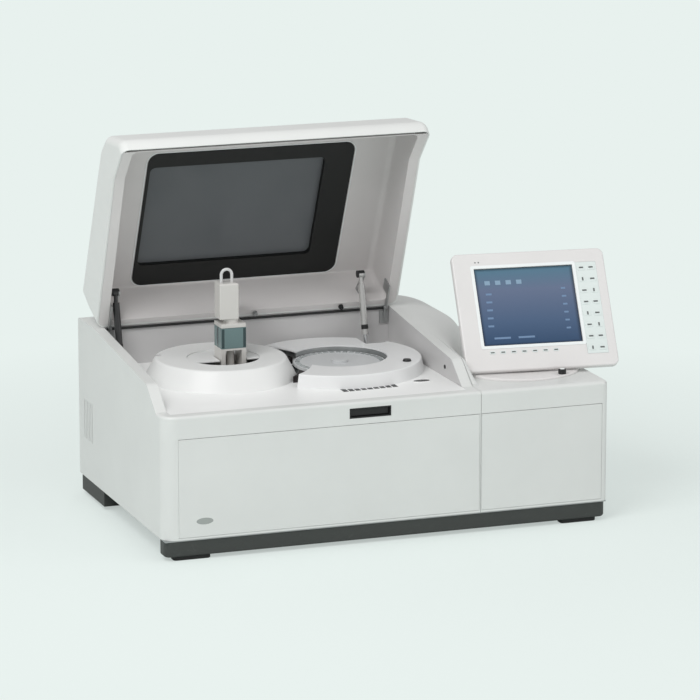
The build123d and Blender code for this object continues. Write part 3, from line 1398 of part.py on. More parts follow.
with BuildPart() as monitor_base:
    with BuildSketch(level(DECK_Z)):
        with Locations((BASE_X, MON_Y)):
            Ellipse(BASE_RX, BASE_RY)
    extrude(amount=BASE_FOOT_H)
    chamfer(monitor_base.edges().group_by(Axis.Z)[-1], 2 * SEAM)
    disc(KNOB_X, KNOB_Y, DECK_Z, DECK_Z + BASE_FOOT_H, KNOB_STEM_R + RUN, Mode.SUBTRACT)
save(monitor_base, "monitor_base")

BASE_TOP = DECK_Z + BASE_FOOT_H

with BuildPart() as tilt_knob:
    disc(KNOB_X, KNOB_Y, BASE_TOP + FIT, BASE_TOP + KNOB_L, KNOB_R)
    chamfer(tilt_knob.edges().group_by(Axis.Z)[-1], SEAM)
    slab(
        KNOB_X - KNOB_R,
        KNOB_X + KNOB_R,
        KNOB_Y - SEAM,
        KNOB_Y + SEAM,
        BASE_TOP + KNOB_L,
        BASE_TOP + KNOB_L + SEAM,
    )
    disc(KNOB_X, KNOB_Y, DECK_Z + FIT, BASE_TOP + KNOB_L, KNOB_STEM_R)
save(tilt_knob, "tilt_knob")

with BuildPart() as monitor_yoke:
    disc(MON_X, MON_Y + SCREEN_BACK, BASE_TOP + FIT, BASE_TOP + TURN_T, TURN_R)
    with BuildSketch(YOKE_PLANE.offset(-YOKE_W / 2)) as post:
        Polygon(
            (0, BASE_TOP + TURN_T - SEAM),
            (PIVOT_BACK, BASE_TOP + TURN_T - SEAM),
            (PIVOT_BACK + PIVOT_EAR_R * 0.9, DECK_Z + PIVOT_RISE - WALL),
            (PIVOT_BACK - PIVOT_EAR_R * 0.9, DECK_Z + PIVOT_RISE - WALL),
            align=None,
        )
        with Locations((PIVOT_BACK, DECK_Z + PIVOT_RISE)):
            Circle(PIVOT_EAR_R)
            Circle(PIVOT_R + RUN, mode=Mode.SUBTRACT)
    extrude(post.sketch, amount=YOKE_W)
save(monitor_yoke, "monitor_yoke")

with BuildPart() as monitor_bezel:
    with BuildSketch(SCREEN_PLANE):
        with Locations(CASE_MID):
            RectangleRounded(CASE_W, CASE_H, CASE_R)
    extrude(amount=-BEZEL_T)
    fillet(monitor_bezel.faces().sort_by(SCREEN_AXIS)[-1].edges(), WALL)
    with BuildSketch(SCREEN_PLANE):
        Rectangle(SCREEN_W, SCREEN_H)
    extrude(amount=-BEZEL_T, mode=Mode.SUBTRACT)
    with BuildSketch(SCREEN_PLANE):
        with Locations((KEYPAD_X, KEYPAD_Y)):
            Rectangle(KEYPAD_W, KEYPAD_H)
    extrude(amount=-KEYPAD_T, mode=Mode.SUBTRACT)
save(monitor_bezel, "monitor_bezel")


def casing(inset):
    """The tapering back of the monitor, lifted at the bottom to clear its base."""
    sections = []
    for depth, side, low in ((0, SHELL_LIP, SHELL_LIP), (SHELL_D - inset, SHELL_INSET, SHELL_RAISE)):
        with BuildSketch(SCREEN_PLANE.offset(-BEZEL_T - depth)) as section:
            with Locations((CASE_MID[0], CASE_MID[1] + (low - side) / 2)):
                RectangleRounded(
                    CASE_W - 2 * side - 2 * inset, CASE_H - side - low - 2 * inset, CASE_R - inset
                )
        sections.append(section.sketch)
    loft(sections, mode=Mode.SUBTRACT if inset else Mode.ADD)


with BuildPart() as monitor_shell:
    casing(0)
    casing(2 * PANEL_T)
    for side in (-1, 1):
        with BuildSketch(YOKE_PLANE.offset(side * (YOKE_W / 2 + FIT + LUG_T / 2) - LUG_T / 2)) as lug:
            with Locations((PIVOT_BACK, DECK_Z + PIVOT_RISE)):
                Circle(PIVOT_EAR_R)
                Rectangle(
                    2 * PIVOT_EAR_R, LUG_REACH, rotation=LUG_BEARING, align=(Align.CENTER, Align.MIN)
                )
        extrude(lug.sketch, amount=LUG_T)
    with BuildSketch(YOKE_PLANE.offset(-YOKE_W / 2 - FIT - LUG_T)) as pin:
        with Locations((PIVOT_BACK, DECK_Z + PIVOT_RISE)):
            Circle(PIVOT_R)
    extrude(pin.sketch, amount=YOKE_W + 2 * FIT + 2 * LUG_T)
save(monitor_shell, "monitor_shell")

with BuildPart() as monitor_screen:
    with BuildSketch(SCREEN_PLANE.offset(-SCREEN_RECESS)):
        Rectangle(SCREEN_W - 2 * FIT, SCREEN_H - 2 * FIT)
    extrude(amount=-SCREEN_T)
save(monitor_screen, "monitor_screen")

with BuildPart() as keypad:
    with BuildSketch(SCREEN_PLANE.offset(-KEYPAD_T)):
        with Locations((KEYPAD_X, KEYPAD_Y)):
            Rectangle(KEYPAD_W - 2 * FIT, KEYPAD_H - 2 * FIT)
    extrude(amount=KEYPAD_T - FIT)
    with BuildSketch(SCREEN_PLANE.offset(-FIT)):
        with Locations((KEYPAD_X, KEYPAD_Y)):
            with GridLocations(KEYPAD_W / 2, KEYPAD_H / KEY_ROWS, 2, KEY_ROWS):
                RectangleRounded(KEY_W, KEY_H, 2 * SEAM)
    extrude(amount=KEY_RISE)
    with BuildSketch(SCREEN_PLANE):
        with Locations((SOFT_KEY_X, SOFT_KEY_Y)):
            with GridLocations(SOFT_KEY_PITCH, 0, SOFT_KEY_COUNT, 1):
                RectangleRounded(SOFT_KEY_W, SOFT_KEY_H, SEAM)
    extrude(amount=KEY_RISE)
save(keypad, "keypad")

# ---------------------------------------------------------------- latch
LATCH_CENTRE_Z = BAND_Z + BAND_H / 2

with BuildPart() as latch_bezel:
    with BuildSketch(across(0)):
        with Locations((LATCH_X, LATCH_CENTRE_Z)):
            Rectangle(LATCH_W, LATCH_H)
    extrude(amount=-LATCH_D)
    with BuildSketch(across(0)):
        with Locations((LATCH_X, LATCH_CENTRE_Z)):
            Rectangle(LATCH_W - 2 * LATCH_FRAME_T, LATCH_H - 2 * LATCH_FRAME_T)
    extrude(amount=LATCH_FRAME_T - LATCH_D, mode=Mode.SUBTRACT)
save(latch_bezel, "latch_bezel")

with BuildPart() as latch_button:
    with BuildSketch(across(LATCH_D - LATCH_FRAME_T - LATCH_TRAVEL - FIT)):
        with Locations((LATCH_X, LATCH_CENTRE_Z)):
            Rectangle(LATCH_W - 2 * LATCH_FRAME_T - 2 * FIT, LATCH_H - 2 * LATCH_FRAME_T - 2 * FIT)
    extrude(amount=LATCH_GRIP_T)
    chamfer(latch_button.faces().sort_by(Axis.Y)[0].edges(), SEAM)
save(latch_button, "latch_button")

# ---------------------------------------------------------------- screws and inner units
SCREW_PITCH_X = (PANEL_X1 - PANEL_X0 - PANEL_MARGIN) / 2
SCREW_PITCH_Z = PANEL_Z1 - PANEL_Z0 - PANEL_MARGIN
UNIT_X0 = SIDE_X + 2 * PANEL_MARGIN
UNIT_X1 = BODY_W - 2 * PANEL_MARGIN

with BuildPart() as cover_screws:
    with BuildSketch(across(PANEL_Y + PANEL_T)):
        with Locations((MAIN_W / 2, (PANEL_Z0 + PANEL_Z1) / 2)):
            with GridLocations(SCREW_PITCH_X, SCREW_PITCH_Z, 3, 2):
                Circle(SCREW_R)
    extrude(amount=-SCREW_H)
save(cover_screws, "cover_screws")

with BuildPart() as power_supply:
    slab(UNIT_X0, UNIT_X1, DEPTH - SUPPLY_D, DEPTH - 2 * PANEL_MARGIN, BASE_H, BASE_H + SUPPLY_H)
    chamfer(power_supply.edges().filter_by(Axis.Z), 2 * SEAM)
save(power_supply, "power_supply")

with BuildPart() as main_board:
    slab(UNIT_X0, UNIT_X1, BOARD_Y0, BOARD_Y1, BASE_H + BOARD_RISE, BASE_H + BOARD_RISE + PANEL_T)
    with BuildSketch(level(BASE_H)):
        with Locations((MAIN_W + SIDE_W / 2, (BOARD_Y0 + BOARD_Y1) / 2)):
            with GridLocations(SIDE_W - 5 * PANEL_MARGIN, BOARD_Y1 - BOARD_Y0 - PANEL_MARGIN, 2, 2):
                Circle(WALL)
    extrude(amount=BOARD_RISE)
    with BuildSketch(level(BASE_H + BOARD_RISE + PANEL_T)):
        with Locations((MAIN_W + SIDE_W / 2, (BOARD_Y0 + BOARD_Y1) / 2)):
            with GridLocations(PANEL_MARGIN * 2, PANEL_MARGIN * 2, 3, 3):
                Rectangle(PANEL_MARGIN, PANEL_MARGIN)
    extrude(amount=WALL)
save(main_board, "main_board")

with BuildPart() as syringe_pump:
    slab(PUMP_X, PUMP_X + PUMP_W, PUMP_Y, PUMP_Y + PUMP_W, BASE_H, BASE_H + PUMP_H)
    with BuildSketch(level(BASE_H + PUMP_H)):
        with Locations((PUMP_X + PUMP_W / 2, PUMP_Y + PUMP_W / 2)):
            with GridLocations(PUMP_W / 2, 0, 2, 1):
                Circle(PUMP_W / 8)
    extrude(amount=PUMP_W / 2)
save(syringe_pump, "syringe_pump")
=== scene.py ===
"""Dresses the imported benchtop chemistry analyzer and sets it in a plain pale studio.

Sizes are millimetres from the front left corner of the body and from the bench:
x to the right, y to the back, z up. The open lid has its own measures: u runs up
the lid from its hinge, v out of its back.
"""

import json
import logging
import math
from dataclasses import dataclass, field
from enum import Enum
from typing import Callable, Sequence

import bmesh
import bpy
from mathutils import Matrix, Vector

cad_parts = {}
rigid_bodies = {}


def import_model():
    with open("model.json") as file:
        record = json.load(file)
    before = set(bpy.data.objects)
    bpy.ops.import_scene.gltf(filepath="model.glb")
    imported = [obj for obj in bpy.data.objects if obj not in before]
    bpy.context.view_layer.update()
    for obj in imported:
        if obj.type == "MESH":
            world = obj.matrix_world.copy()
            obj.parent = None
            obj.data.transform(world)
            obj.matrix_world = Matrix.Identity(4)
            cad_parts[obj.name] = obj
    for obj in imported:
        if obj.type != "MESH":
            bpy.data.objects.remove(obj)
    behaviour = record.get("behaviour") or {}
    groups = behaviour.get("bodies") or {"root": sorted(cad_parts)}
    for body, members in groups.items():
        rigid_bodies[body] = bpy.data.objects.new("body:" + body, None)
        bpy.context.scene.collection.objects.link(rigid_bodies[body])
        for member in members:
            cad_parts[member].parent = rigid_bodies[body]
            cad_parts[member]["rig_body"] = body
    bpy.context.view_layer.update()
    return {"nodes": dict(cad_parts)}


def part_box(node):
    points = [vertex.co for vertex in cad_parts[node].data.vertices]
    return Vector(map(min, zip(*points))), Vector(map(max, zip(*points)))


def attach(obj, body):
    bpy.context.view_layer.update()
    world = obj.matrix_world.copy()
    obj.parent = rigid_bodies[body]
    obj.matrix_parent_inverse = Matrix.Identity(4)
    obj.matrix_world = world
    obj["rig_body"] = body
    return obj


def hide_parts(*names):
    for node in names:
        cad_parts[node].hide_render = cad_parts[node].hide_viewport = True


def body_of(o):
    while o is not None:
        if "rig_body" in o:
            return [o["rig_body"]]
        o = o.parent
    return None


LOG = logging.getLogger("analyzer")
MM = 0.001


# ---------------------------------------------------------------- places
@dataclass(frozen=True)
class Layout:
    """Where the analyzer's main planes lie.

    corner is the body's front left corner on the bench, in metres.
    """

    corner: Vector
    deck: float = 288.0
    hinge_y: float = 460.0
    hinge_z: float = 366.0
    lean: float = math.radians(22.0)
    ceiling_pitch: float = math.radians(24.9)
    ceiling_v: float = 111.98
    turn: float = math.radians(-6.4)
    tilt: float = math.radians(32.0)
    screen_x: float = 822.0
    screen_y: float = 164.0
    screen_z: float = 416.0

    def at(self, x: float, y: float, z: float = 0.0) -> Vector:
        """A point in metres from millimetres off the corner."""
        return self.corner + Vector((x, y, z)) * MM

    def lid(self, x: float, u: float, v: float) -> Vector:
        """A point of the open lid."""
        s, c = math.sin(self.lean), math.cos(self.lean)
        return self.at(x, self.hinge_y - u * s + v * c, self.hinge_z + u * c + v * s)

    def ceiling(self, x: float, w: float, drop: float = 0.0) -> Vector:
        """A point of the liner's inner face, drop millimetres in front of it."""
        s, c = math.sin(self.ceiling_pitch), math.cos(self.ceiling_pitch)
        start = self.lid(x, 0.0, self.ceiling_v)
        return start + Vector((0.0, -s * w - c * drop, c * w - s * drop)) * MM

    def ceiling_out(self) -> Vector:
        """The direction out of the liner's inner face."""
        return Vector((0.0, -math.cos(self.ceiling_pitch), -math.sin(self.ceiling_pitch)))

    def screen_axes(self) -> tuple[Vector, Vector, Vector]:
        """Right, up and out of the display's front, as unit vectors."""
        right = Vector((math.cos(self.turn), math.sin(self.turn), 0.0))
        back = Vector((-math.sin(self.turn), math.cos(self.turn), 0.0))
        up = back * math.sin(self.tilt) + Vector((0.0, 0.0, math.cos(self.tilt)))
        return right, up, right.cross(up)

    def screen(self, x: float, y: float, out: float = 0.0) -> Vector:
        """A point on the display's front, from the middle of its picture."""
        right, up, normal = self.screen_axes()
        middle = self.at(self.screen_x, self.screen_y, self.screen_z)
        return middle + (right * x + up * y + normal * out) * MM


# ---------------------------------------------------------------- finishes
class Grain(Enum):
    """The relief of a finish."""

    SMOOTH = "smooth"
    MOULDED = "moulded"
    BRUSHED = "brushed"
    RUBBER = "rubber"


def linear(colour: tuple[int, int, int]) -> tuple[float, float, float, float]:
    """A display colour of 0 to 255 as the linear colour that a shader takes."""
    parts = [c / 255.0 for c in colour]
    parts = [p / 12.92 if p <= 0.04045 else ((p + 0.055) / 1.055) ** 2.4 for p in parts]
    return (*parts, 1.0)


class ShaderGroups:
    """The shader groups that several finishes share."""

    @staticmethod
    def _start(name: str, takes: Sequence[tuple[str, str, float]], gives: Sequence[tuple[str, str]]) -> tuple:
        """Open a new group with its sockets.

        Args:
            name: The group's name.
            takes: Input names, kinds and starting values.
            gives: Output names and kinds.

        Returns:
            The tree with its input and output nodes.
        """
        tree = bpy.data.node_groups.new(name, "ShaderNodeTree")
        for label, kind, value in takes:
            socket = tree.interface.new_socket(label, in_out="INPUT", socket_type=kind)
            if kind == "NodeSocketFloat":
                socket.default_value = value
        for label, kind in gives:
            tree.interface.new_socket(label, in_out="OUTPUT", socket_type=kind)
        return tree, tree.nodes.new("NodeGroupInput"), tree.nodes.new("NodeGroupOutput")

    @classmethod
    def patina(cls) -> bpy.types.NodeTree:
        """Slow drift of tone and gloss over a surface, with faint smears of handling."""
        found = bpy.data.node_groups.get("patina")
        if found:
            return found
        tree, start, end = cls._start(
            "patina",
            (
                ("Vector", "NodeSocketVector", 0),
                ("Colour", "NodeSocketColor", 0),
                ("Scale", "NodeSocketFloat", 9.0),
                ("Drift", "NodeSocketFloat", 0.03),
                ("Roughness", "NodeSocketFloat", 0.45),
                ("Smear", "NodeSocketFloat", 0.05),
            ),
            (("Colour", "NodeSocketColor"), ("Roughness", "NodeSocketFloat")),
        )
        new, link = tree.nodes.new, tree.links.new
        slow = new("ShaderNodeTexNoise")
        slow.inputs["Detail"].default_value = 3.0
        link(start.outputs["Vector"], slow.inputs["Vector"])
        link(start.outputs["Scale"], slow.inputs["Scale"])
        low = new("ShaderNodeMath")
        low.operation = "SUBTRACT"
        low.inputs[0].default_value = 1.0
        link(start.outputs["Drift"], low.inputs[1])
        high = new("ShaderNodeMath")
        high.operation = "ADD"
        high.inputs[0].default_value = 1.0
        link(start.outputs["Drift"], high.inputs[1])
        tone = new("ShaderNodeMapRange")
        link(slow.outputs["Fac"], tone.inputs["Value"])
        tone.inputs["From Min"].default_value = 0.3
        tone.inputs["From Max"].default_value = 0.7
        link(low.outputs[0], tone.inputs["To Min"])
        link(high.outputs[0], tone.inputs["To Max"])
        scaled = new("ShaderNodeVectorMath")
        scaled.operation = "SCALE"
        link(start.outputs["Colour"], scaled.inputs[0])
        link(tone.outputs["Result"], scaled.inputs["Scale"])
        link(scaled.outputs["Vector"], end.inputs["Colour"])
        finer = new("ShaderNodeMath")
        finer.operation = "MULTIPLY"
        finer.inputs[1].default_value = 5.0
        link(start.outputs["Scale"], finer.inputs[0])
        smear = new("ShaderNodeTexNoise")
        smear.inputs["Detail"].default_value = 4.0
        smear.inputs["Distortion"].default_value = 0.8
        link(start.outputs["Vector"], smear.inputs["Vector"])
        link(finer.outputs[0], smear.inputs["Scale"])
        spread = new("ShaderNodeMath")
        spread.operation = "MULTIPLY_ADD"
        link(smear.outputs["Fac"], spread.inputs[0])
        link(start.outputs["Smear"], spread.inputs[1])
        link(start.outputs["Roughness"], spread.inputs[2])
        link(spread.outputs[0], end.inputs["Roughness"])
        return tree

    @classmethod
    def relief(cls) -> bpy.types.NodeTree:
        """Fine relief: even spark grain, or lines where the vector is stretched."""
        found = bpy.data.node_groups.get("relief")
        if found:
            return found
        tree, start, end = cls._start(
            "relief",
            (
                ("Vector", "NodeSocketVector", 0),
                ("Scale", "NodeSocketFloat", 900.0),
                ("Sharpness", "NodeSocketFloat", 0.6),
            ),
            (("Height", "NodeSocketFloat"),),
        )
        noise = tree.nodes.new("ShaderNodeTexNoise")
        noise.inputs["Detail"].default_value = 2.0
        tree.links.new(start.outputs["Vector"], noise.inputs["Vector"])
        tree.links.new(start.outputs["Scale"], noise.inputs["Scale"])
        tree.links.new(start.outputs["Sharpness"], noise.inputs["Roughness"])
        tree.links.new(noise.outputs["Fac"], end.inputs["Height"])
        return tree

    @classmethod
    def scuffs(cls) -> bpy.types.NodeTree:
        """A mask of sparse fine scratches and rubbed spots."""
        found = bpy.data.node_groups.get("scuffs")
        if found:
            return found
        tree, start, end = cls._start(
            "scuffs",
            (
                ("Vector", "NodeSocketVector", 0),
                ("Scale", "NodeSocketFloat", 60.0),
                ("Amount", "NodeSocketFloat", 0.1),
            ),
            (("Mask", "NodeSocketFloat"),),
        )
        new, link = tree.nodes.new, tree.links.new
        noise = new("ShaderNodeTexNoise")
        noise.inputs["Detail"].default_value = 6.0
        noise.inputs["Distortion"].default_value = 2.0
        link(start.outputs["Vector"], noise.inputs["Vector"])
        link(start.outputs["Scale"], noise.inputs["Scale"])
        ramp = new("ShaderNodeMapRange")
        ramp.inputs["From Min"].default_value = 0.6
        ramp.inputs["From Max"].default_value = 0.74
        link(noise.outputs["Fac"], ramp.inputs["Value"])
        scaled = new("ShaderNodeMath")
        scaled.operation = "MULTIPLY"
        link(ramp.outputs["Result"], scaled.inputs[0])
        link(start.outputs["Amount"], scaled.inputs[1])
        link(scaled.outputs[0], end.inputs["Mask"])
        return tree


    @classmethod
    def picture(cls) -> bpy.types.NodeTree:
        """The plain picture of a display: a tone that falls down it, with a dark margin."""
        found = bpy.data.node_groups.get("picture")
        if found:
            return found
        tree, start, end = cls._start("picture", (("Vector", "NodeSocketVector", 0), ("Margin", "NodeSocketFloat", 0.02)), (("Colour", "NodeSocketColor"),))
        new, link = tree.nodes.new, tree.links.new
        parts = new("ShaderNodeSeparateXYZ")
        link(start.outputs["Vector"], parts.inputs["Vector"])
        fall = new("ShaderNodeValToRGB")
        fall.color_ramp.elements[0].color = linear((38, 66, 98))
        fall.color_ramp.elements[1].color = linear((76, 113, 133))
        fall.color_ramp.elements.new(0.3).color = linear((66, 88, 118))
        fall.color_ramp.elements.new(0.72).color = linear((93, 106, 132))
        link(parts.outputs["Y"], fall.inputs["Fac"])
        edge = None
        for axis in ("X", "Y"):
            centred = new("ShaderNodeMath")
            centred.operation = "PINGPONG"
            centred.inputs[1].default_value = 0.5
            link(parts.outputs[axis], centred.inputs[0])
            if edge is None:
                edge = centred
            else:
                nearer = new("ShaderNodeMath")
                nearer.operation = "MINIMUM"
                link(edge.outputs[0], nearer.inputs[0])
                link(centred.outputs[0], nearer.inputs[1])
                edge = nearer
        inside = new("ShaderNodeMapRange")
        inside.inputs["To Min"].default_value = 0.35
        link(edge.outputs[0], inside.inputs["Value"])
        link(start.outputs["Margin"], inside.inputs["From Max"])
        shaded = new("ShaderNodeVectorMath")
        shaded.operation = "SCALE"
        link(fall.outputs["Color"], shaded.inputs[0])
        link(inside.outputs["Result"], shaded.inputs["Scale"])
        link(shaded.outputs["Vector"], end.inputs["Colour"])
        return tree


@dataclass(frozen=True)
class Finish:
    """A surface of the analyzer, with its colour as seen under plain light."""

    name: str
    colour: tuple[int, int, int]
    roughness: float = 0.45
    metallic: float = 0.0
    coat: float = 0.0
    drift: float = 0.02
    scale: float = 8.0
    smear: float = 0.06
    grain: Grain = Grain.MOULDED
    grain_depth: float = 0.00003
    scuff: float = 0.0
    scuff_colour: tuple[int, int, int] = (150, 150, 148)
    clear: float = 0.0
    ior: float = 1.46
    glow: float = 0.0

    def material(self) -> bpy.types.Material:
        """The finish's material, made once."""
        name = f"{self.name}_look"
        found = bpy.data.materials.get(name)
        if found:
            return found
        made = bpy.data.materials.new(name)
        made.use_nodes = True
        nodes, link = made.node_tree.nodes, made.node_tree.links.new
        shader = nodes["Principled BSDF"]
        where = nodes.new("ShaderNodeTexCoord").outputs["Object"]
        patina = nodes.new("ShaderNodeGroup")
        patina.node_tree = ShaderGroups.patina()
        link(where, patina.inputs["Vector"])
        patina.inputs["Colour"].default_value = linear(self.colour)
        patina.inputs["Scale"].default_value = self.scale
        patina.inputs["Drift"].default_value = self.drift
        patina.inputs["Roughness"].default_value = self.roughness - self.smear / 2
        patina.inputs["Smear"].default_value = self.smear
        colour = patina.outputs["Colour"]
        if self.scuff:
            scuffs = nodes.new("ShaderNodeGroup")
            scuffs.node_tree = ShaderGroups.scuffs()
            link(where, scuffs.inputs["Vector"])
            scuffs.inputs["Amount"].default_value = self.scuff
            mix = nodes.new("ShaderNodeMix")
            mix.data_type = "RGBA"
            link(scuffs.outputs["Mask"], mix.inputs["Factor"])
            link(colour, mix.inputs[6])
            mix.inputs[7].default_value = linear(self.scuff_colour)
            colour = mix.outputs[2]
        link(colour, shader.inputs["Base Color"])
        link(patina.outputs["Roughness"], shader.inputs["Roughness"])
        shader.inputs["Metallic"].default_value = self.metallic
        shader.inputs["Coat Weight"].default_value = self.coat
        shader.inputs["Coat Roughness"].default_value = 0.12
        shader.inputs["IOR"].default_value = self.ior
        shader.inputs["Transmission Weight"].default_value = self.clear
        if self.glow:
            shader.inputs["Emission Color"].default_value = linear(self.colour)
            shader.inputs["Emission Strength"].default_value = self.glow
        if self.grain is not Grain.SMOOTH:
            self._grain(nodes, link, where, shader)
        return made

    def _grain(self, nodes: bpy.types.Nodes, link: Callable, where: bpy.types.NodeSocket, shader: bpy.types.Node) -> None:
        """Give the shader its fine relief.

        Args:
            nodes: The material's nodes.
            link: The function that joins two sockets.
            where: The socket that gives the place on the surface.
            shader: The node that takes the normal.
        """
        stretch = nodes.new("ShaderNodeMapping")
        if self.grain is Grain.BRUSHED:
            stretch.inputs["Scale"].default_value = (0.03, 1.0, 1.0)
        link(where, stretch.inputs["Vector"])
        relief = nodes.new("ShaderNodeGroup")
        relief.node_tree = ShaderGroups.relief()
        link(stretch.outputs["Vector"], relief.inputs["Vector"])
        relief.inputs["Scale"].default_value = 420.0 if self.grain is Grain.RUBBER else 1100.0
        bump = nodes.new("ShaderNodeBump")
        bump.inputs["Strength"].default_value = 0.5
        bump.inputs["Distance"].default_value = self.grain_depth * (3.0 if self.grain is Grain.RUBBER else 1.0)
        link(relief.outputs["Height"], bump.inputs["Height"])
        link(bump.outputs["Normal"], shader.inputs["Normal"])


@dataclass(frozen=True)
class Finishes:
    """Every finish of the analyzer."""

    housing: Finish = Finish("housing_paint", (218, 220, 218), 0.42, coat=0.15)
    # painted shade: a greyer copy of the housing paint for the well's inner walls that face left or to the front
    well: Finish = Finish("well_painted_shade", (196, 195, 195), 0.5)
    deck: Finish = Finish("deck_paint", (240, 241, 240), 0.4, coat=0.1)
    lid_outer: Finish = Finish("lid_paint", (226, 228, 226), 0.4, coat=0.15)
    liner: Finish = Finish("liner_plastic", (212, 209, 208), 0.5, drift=0.03)
    plinth: Finish = Finish("plinth_plastic", (58, 61, 59), 0.55, scuff=0.15, scuff_colour=(96, 98, 96))
    rubber: Finish = Finish("foot_rubber", (34, 35, 35), 0.8, grain=Grain.RUBBER)
    pan: Finish = Finish("pan_steel", (168, 170, 170), 0.42, metallic=1.0, grain=Grain.BRUSHED)
    rear: Finish = Finish("rear_paint", (206, 208, 205), 0.5, scuff=0.06)
    black: Finish = Finish("black_plastic", (30, 31, 32), 0.42, scuff=0.08, scuff_colour=(70, 70, 70))
    frame: Finish = Finish("window_black", (12, 14, 13), 0.5, grain_depth=0.00001)
    smoked: Finish = Finish("smoked_glass", (114, 117, 120), 0.16, clear=0.3, ior=1.3, drift=0.08, scale=3.0, grain=Grain.SMOOTH, smear=0.03)
    port: Finish = Finish("port_glass", (46, 46, 48), 0.14, clear=0.3, ior=1.4, grain=Grain.SMOOTH)
    port_steel: Finish = Finish("port_steel", (176, 178, 180), 0.32, metallic=1.0, grain=Grain.BRUSHED)
    steel: Finish = Finish("plain_steel", (182, 184, 184), 0.35, metallic=1.0, grain=Grain.BRUSHED)
    hinge: Finish = Finish("hinge_steel", (176, 178, 178), 0.4, metallic=0.9, grain=Grain.BRUSHED)
    screw: Finish = Finish("screw_steel", (150, 152, 154), 0.3, metallic=1.0, scuff=0.15)
    recess: Finish = Finish("recess_black", (18, 18, 19), 0.7, grain=Grain.SMOOTH)
    motor: Finish = Finish("motor_case", (88, 90, 92), 0.45, metallic=0.9)
    supply: Finish = Finish("supply_case", (170, 172, 170), 0.4, metallic=1.0, grain=Grain.BRUSHED)
    circuit: Finish = Finish("circuit_green", (22, 74, 50), 0.5, drift=0.1, scale=60.0)
    carousel: Finish = Finish("carousel_plastic", (196, 199, 198), 0.4)
    bottle: Finish = Finish("bottle_plastic", (206, 202, 190), 0.4)
    cap_blue: Finish = Finish("bottle_cap", (70, 98, 120), 0.45)
    cap_red: Finish = Finish("tube_cap", (150, 66, 58), 0.45)
    tube: Finish = Finish("tube_glass", (214, 222, 220), 0.1, clear=0.85, grain=Grain.SMOOTH)
    cuvette: Finish = Finish("cuvette_plastic", (206, 212, 212), 0.18, clear=0.35, grain=Grain.SMOOTH)
    rotor: Finish = Finish("rotor_plastic", (200, 202, 203), 0.4)
    riser: Finish = Finish("riser_paint", (230, 231, 231), 0.38, coat=0.1)
    drum: Finish = Finish("drum_paint", (229, 230, 229), 0.4, coat=0.05)
    tower: Finish = Finish("tower_plastic", (204, 202, 198), 0.3, coat=0.3)
    teal: Finish = Finish("tower_window", (98, 122, 123), 0.2, coat=0.4, grain=Grain.SMOOTH)
    teal_dark: Finish = Finish("tower_window_edge", (36, 58, 60), 0.25, coat=0.3)
    needle: Finish = Finish("needle_steel", (196, 198, 198), 0.22, metallic=1.0, grain=Grain.SMOOTH)
    tubing: Finish = Finish("clear_tubing", (226, 226, 226), 0.14, clear=0.25, coat=0.5, grain=Grain.SMOOTH)
    chrome: Finish = Finish("bright_chrome", (214, 216, 217), 0.12, metallic=1.0, grain=Grain.SMOOTH)
    # painted shade: a darker copy of the chrome for the left strut's rod
    chrome_painted_shade: Finish = Finish("painted_shade_chrome", (74, 76, 78), 0.2, metallic=1.0, grain=Grain.SMOOTH)
    # painted highlight: a pale metallic copy of the black strut paint for the right strut's tube
    strut_painted_highlight: Finish = Finish("painted_highlight_strut", (206, 206, 204), 0.25, metallic=0.7, grain=Grain.SMOOTH)
    strut: Finish = Finish("strut_paint", (36, 37, 38), 0.3, coat=0.5)
    # the wash station's dark finish: partly its own colour, partly painted shade for the shadow in the reaction dish
    mechanism_and_shade: Finish = Finish("mechanism_with_painted_shade", (42, 38, 38), 0.45)
    display_case: Finish = Finish("display_case", (225, 223, 222), 0.4, coat=0.1)
    display_rim: Finish = Finish("display_rim", (238, 242, 242), 0.3, coat=0.2)
    key_panel: Finish = Finish("key_panel", (222, 230, 228), 0.4)
    key: Finish = Finish("key_grey", (196, 202, 200), 0.45)
    glass: Finish = Finish("display_glass", (40, 52, 70), 0.2, coat=0.4, glow=0.2, grain=Grain.SMOOTH)
    print_grey: Finish = Finish("print_grey", (96, 100, 100), 0.5, grain=Grain.SMOOTH)
    print_dark: Finish = Finish("print_dark", (52, 54, 55), 0.5, grain=Grain.SMOOTH)
    badge: Finish = Finish("badge_plate", (158, 163, 160), 0.4, coat=0.1)
    mark: Finish = Finish("screen_mark", (106, 132, 164), 0.4, glow=0.1, grain=Grain.SMOOTH)
    mark_pale: Finish = Finish("screen_mark_pale", (128, 154, 176), 0.4, glow=0.1, grain=Grain.SMOOTH)


# ---------------------------------------------------------------- meshes
def tube_mesh(name: str, path: Sequence[Vector], radius: float, sides: int = 14, closed: bool = False) -> bpy.types.Mesh:
    """A round bar along a path.

    Args:
        name: The mesh's name.
        path: Points in metres.
        radius: Millimetres.
        sides: Faces round the bar.
        closed: Whether the path ends where it starts.

    Returns:
        The finished mesh.
    """
    bm = bmesh.new()
    count = len(path)
    rings = []
    side = None
    for index, point in enumerate(path):
        before = path[index - 1] if index or closed else point
        after = path[(index + 1) % count] if index < count - 1 or closed else point
        ahead = (after - before).normalized()
        if side is None:
            side = ahead.orthogonal().normalized()
        side = (side - ahead * side.dot(ahead)).normalized()
        across = ahead.cross(side)
        ring = []
        for step in range(sides):
            angle = 2 * math.pi * step / sides
            ring.append(bm.verts.new(point + (side * math.cos(angle) + across * math.sin(angle)) * radius * MM))
        rings.append(ring)
    pairs = list(zip(rings, rings[1:]))
    if closed:
        pairs.append((rings[-1], rings[0]))
    for lower, upper in pairs:
        for step in range(sides):
            following = (step + 1) % sides
            bm.faces.new((lower[step], lower[following], upper[following], upper[step]))
    if not closed:
        bm.faces.new(list(reversed(rings[0])))
        bm.faces.new(rings[-1])
    return finished(bm, name)


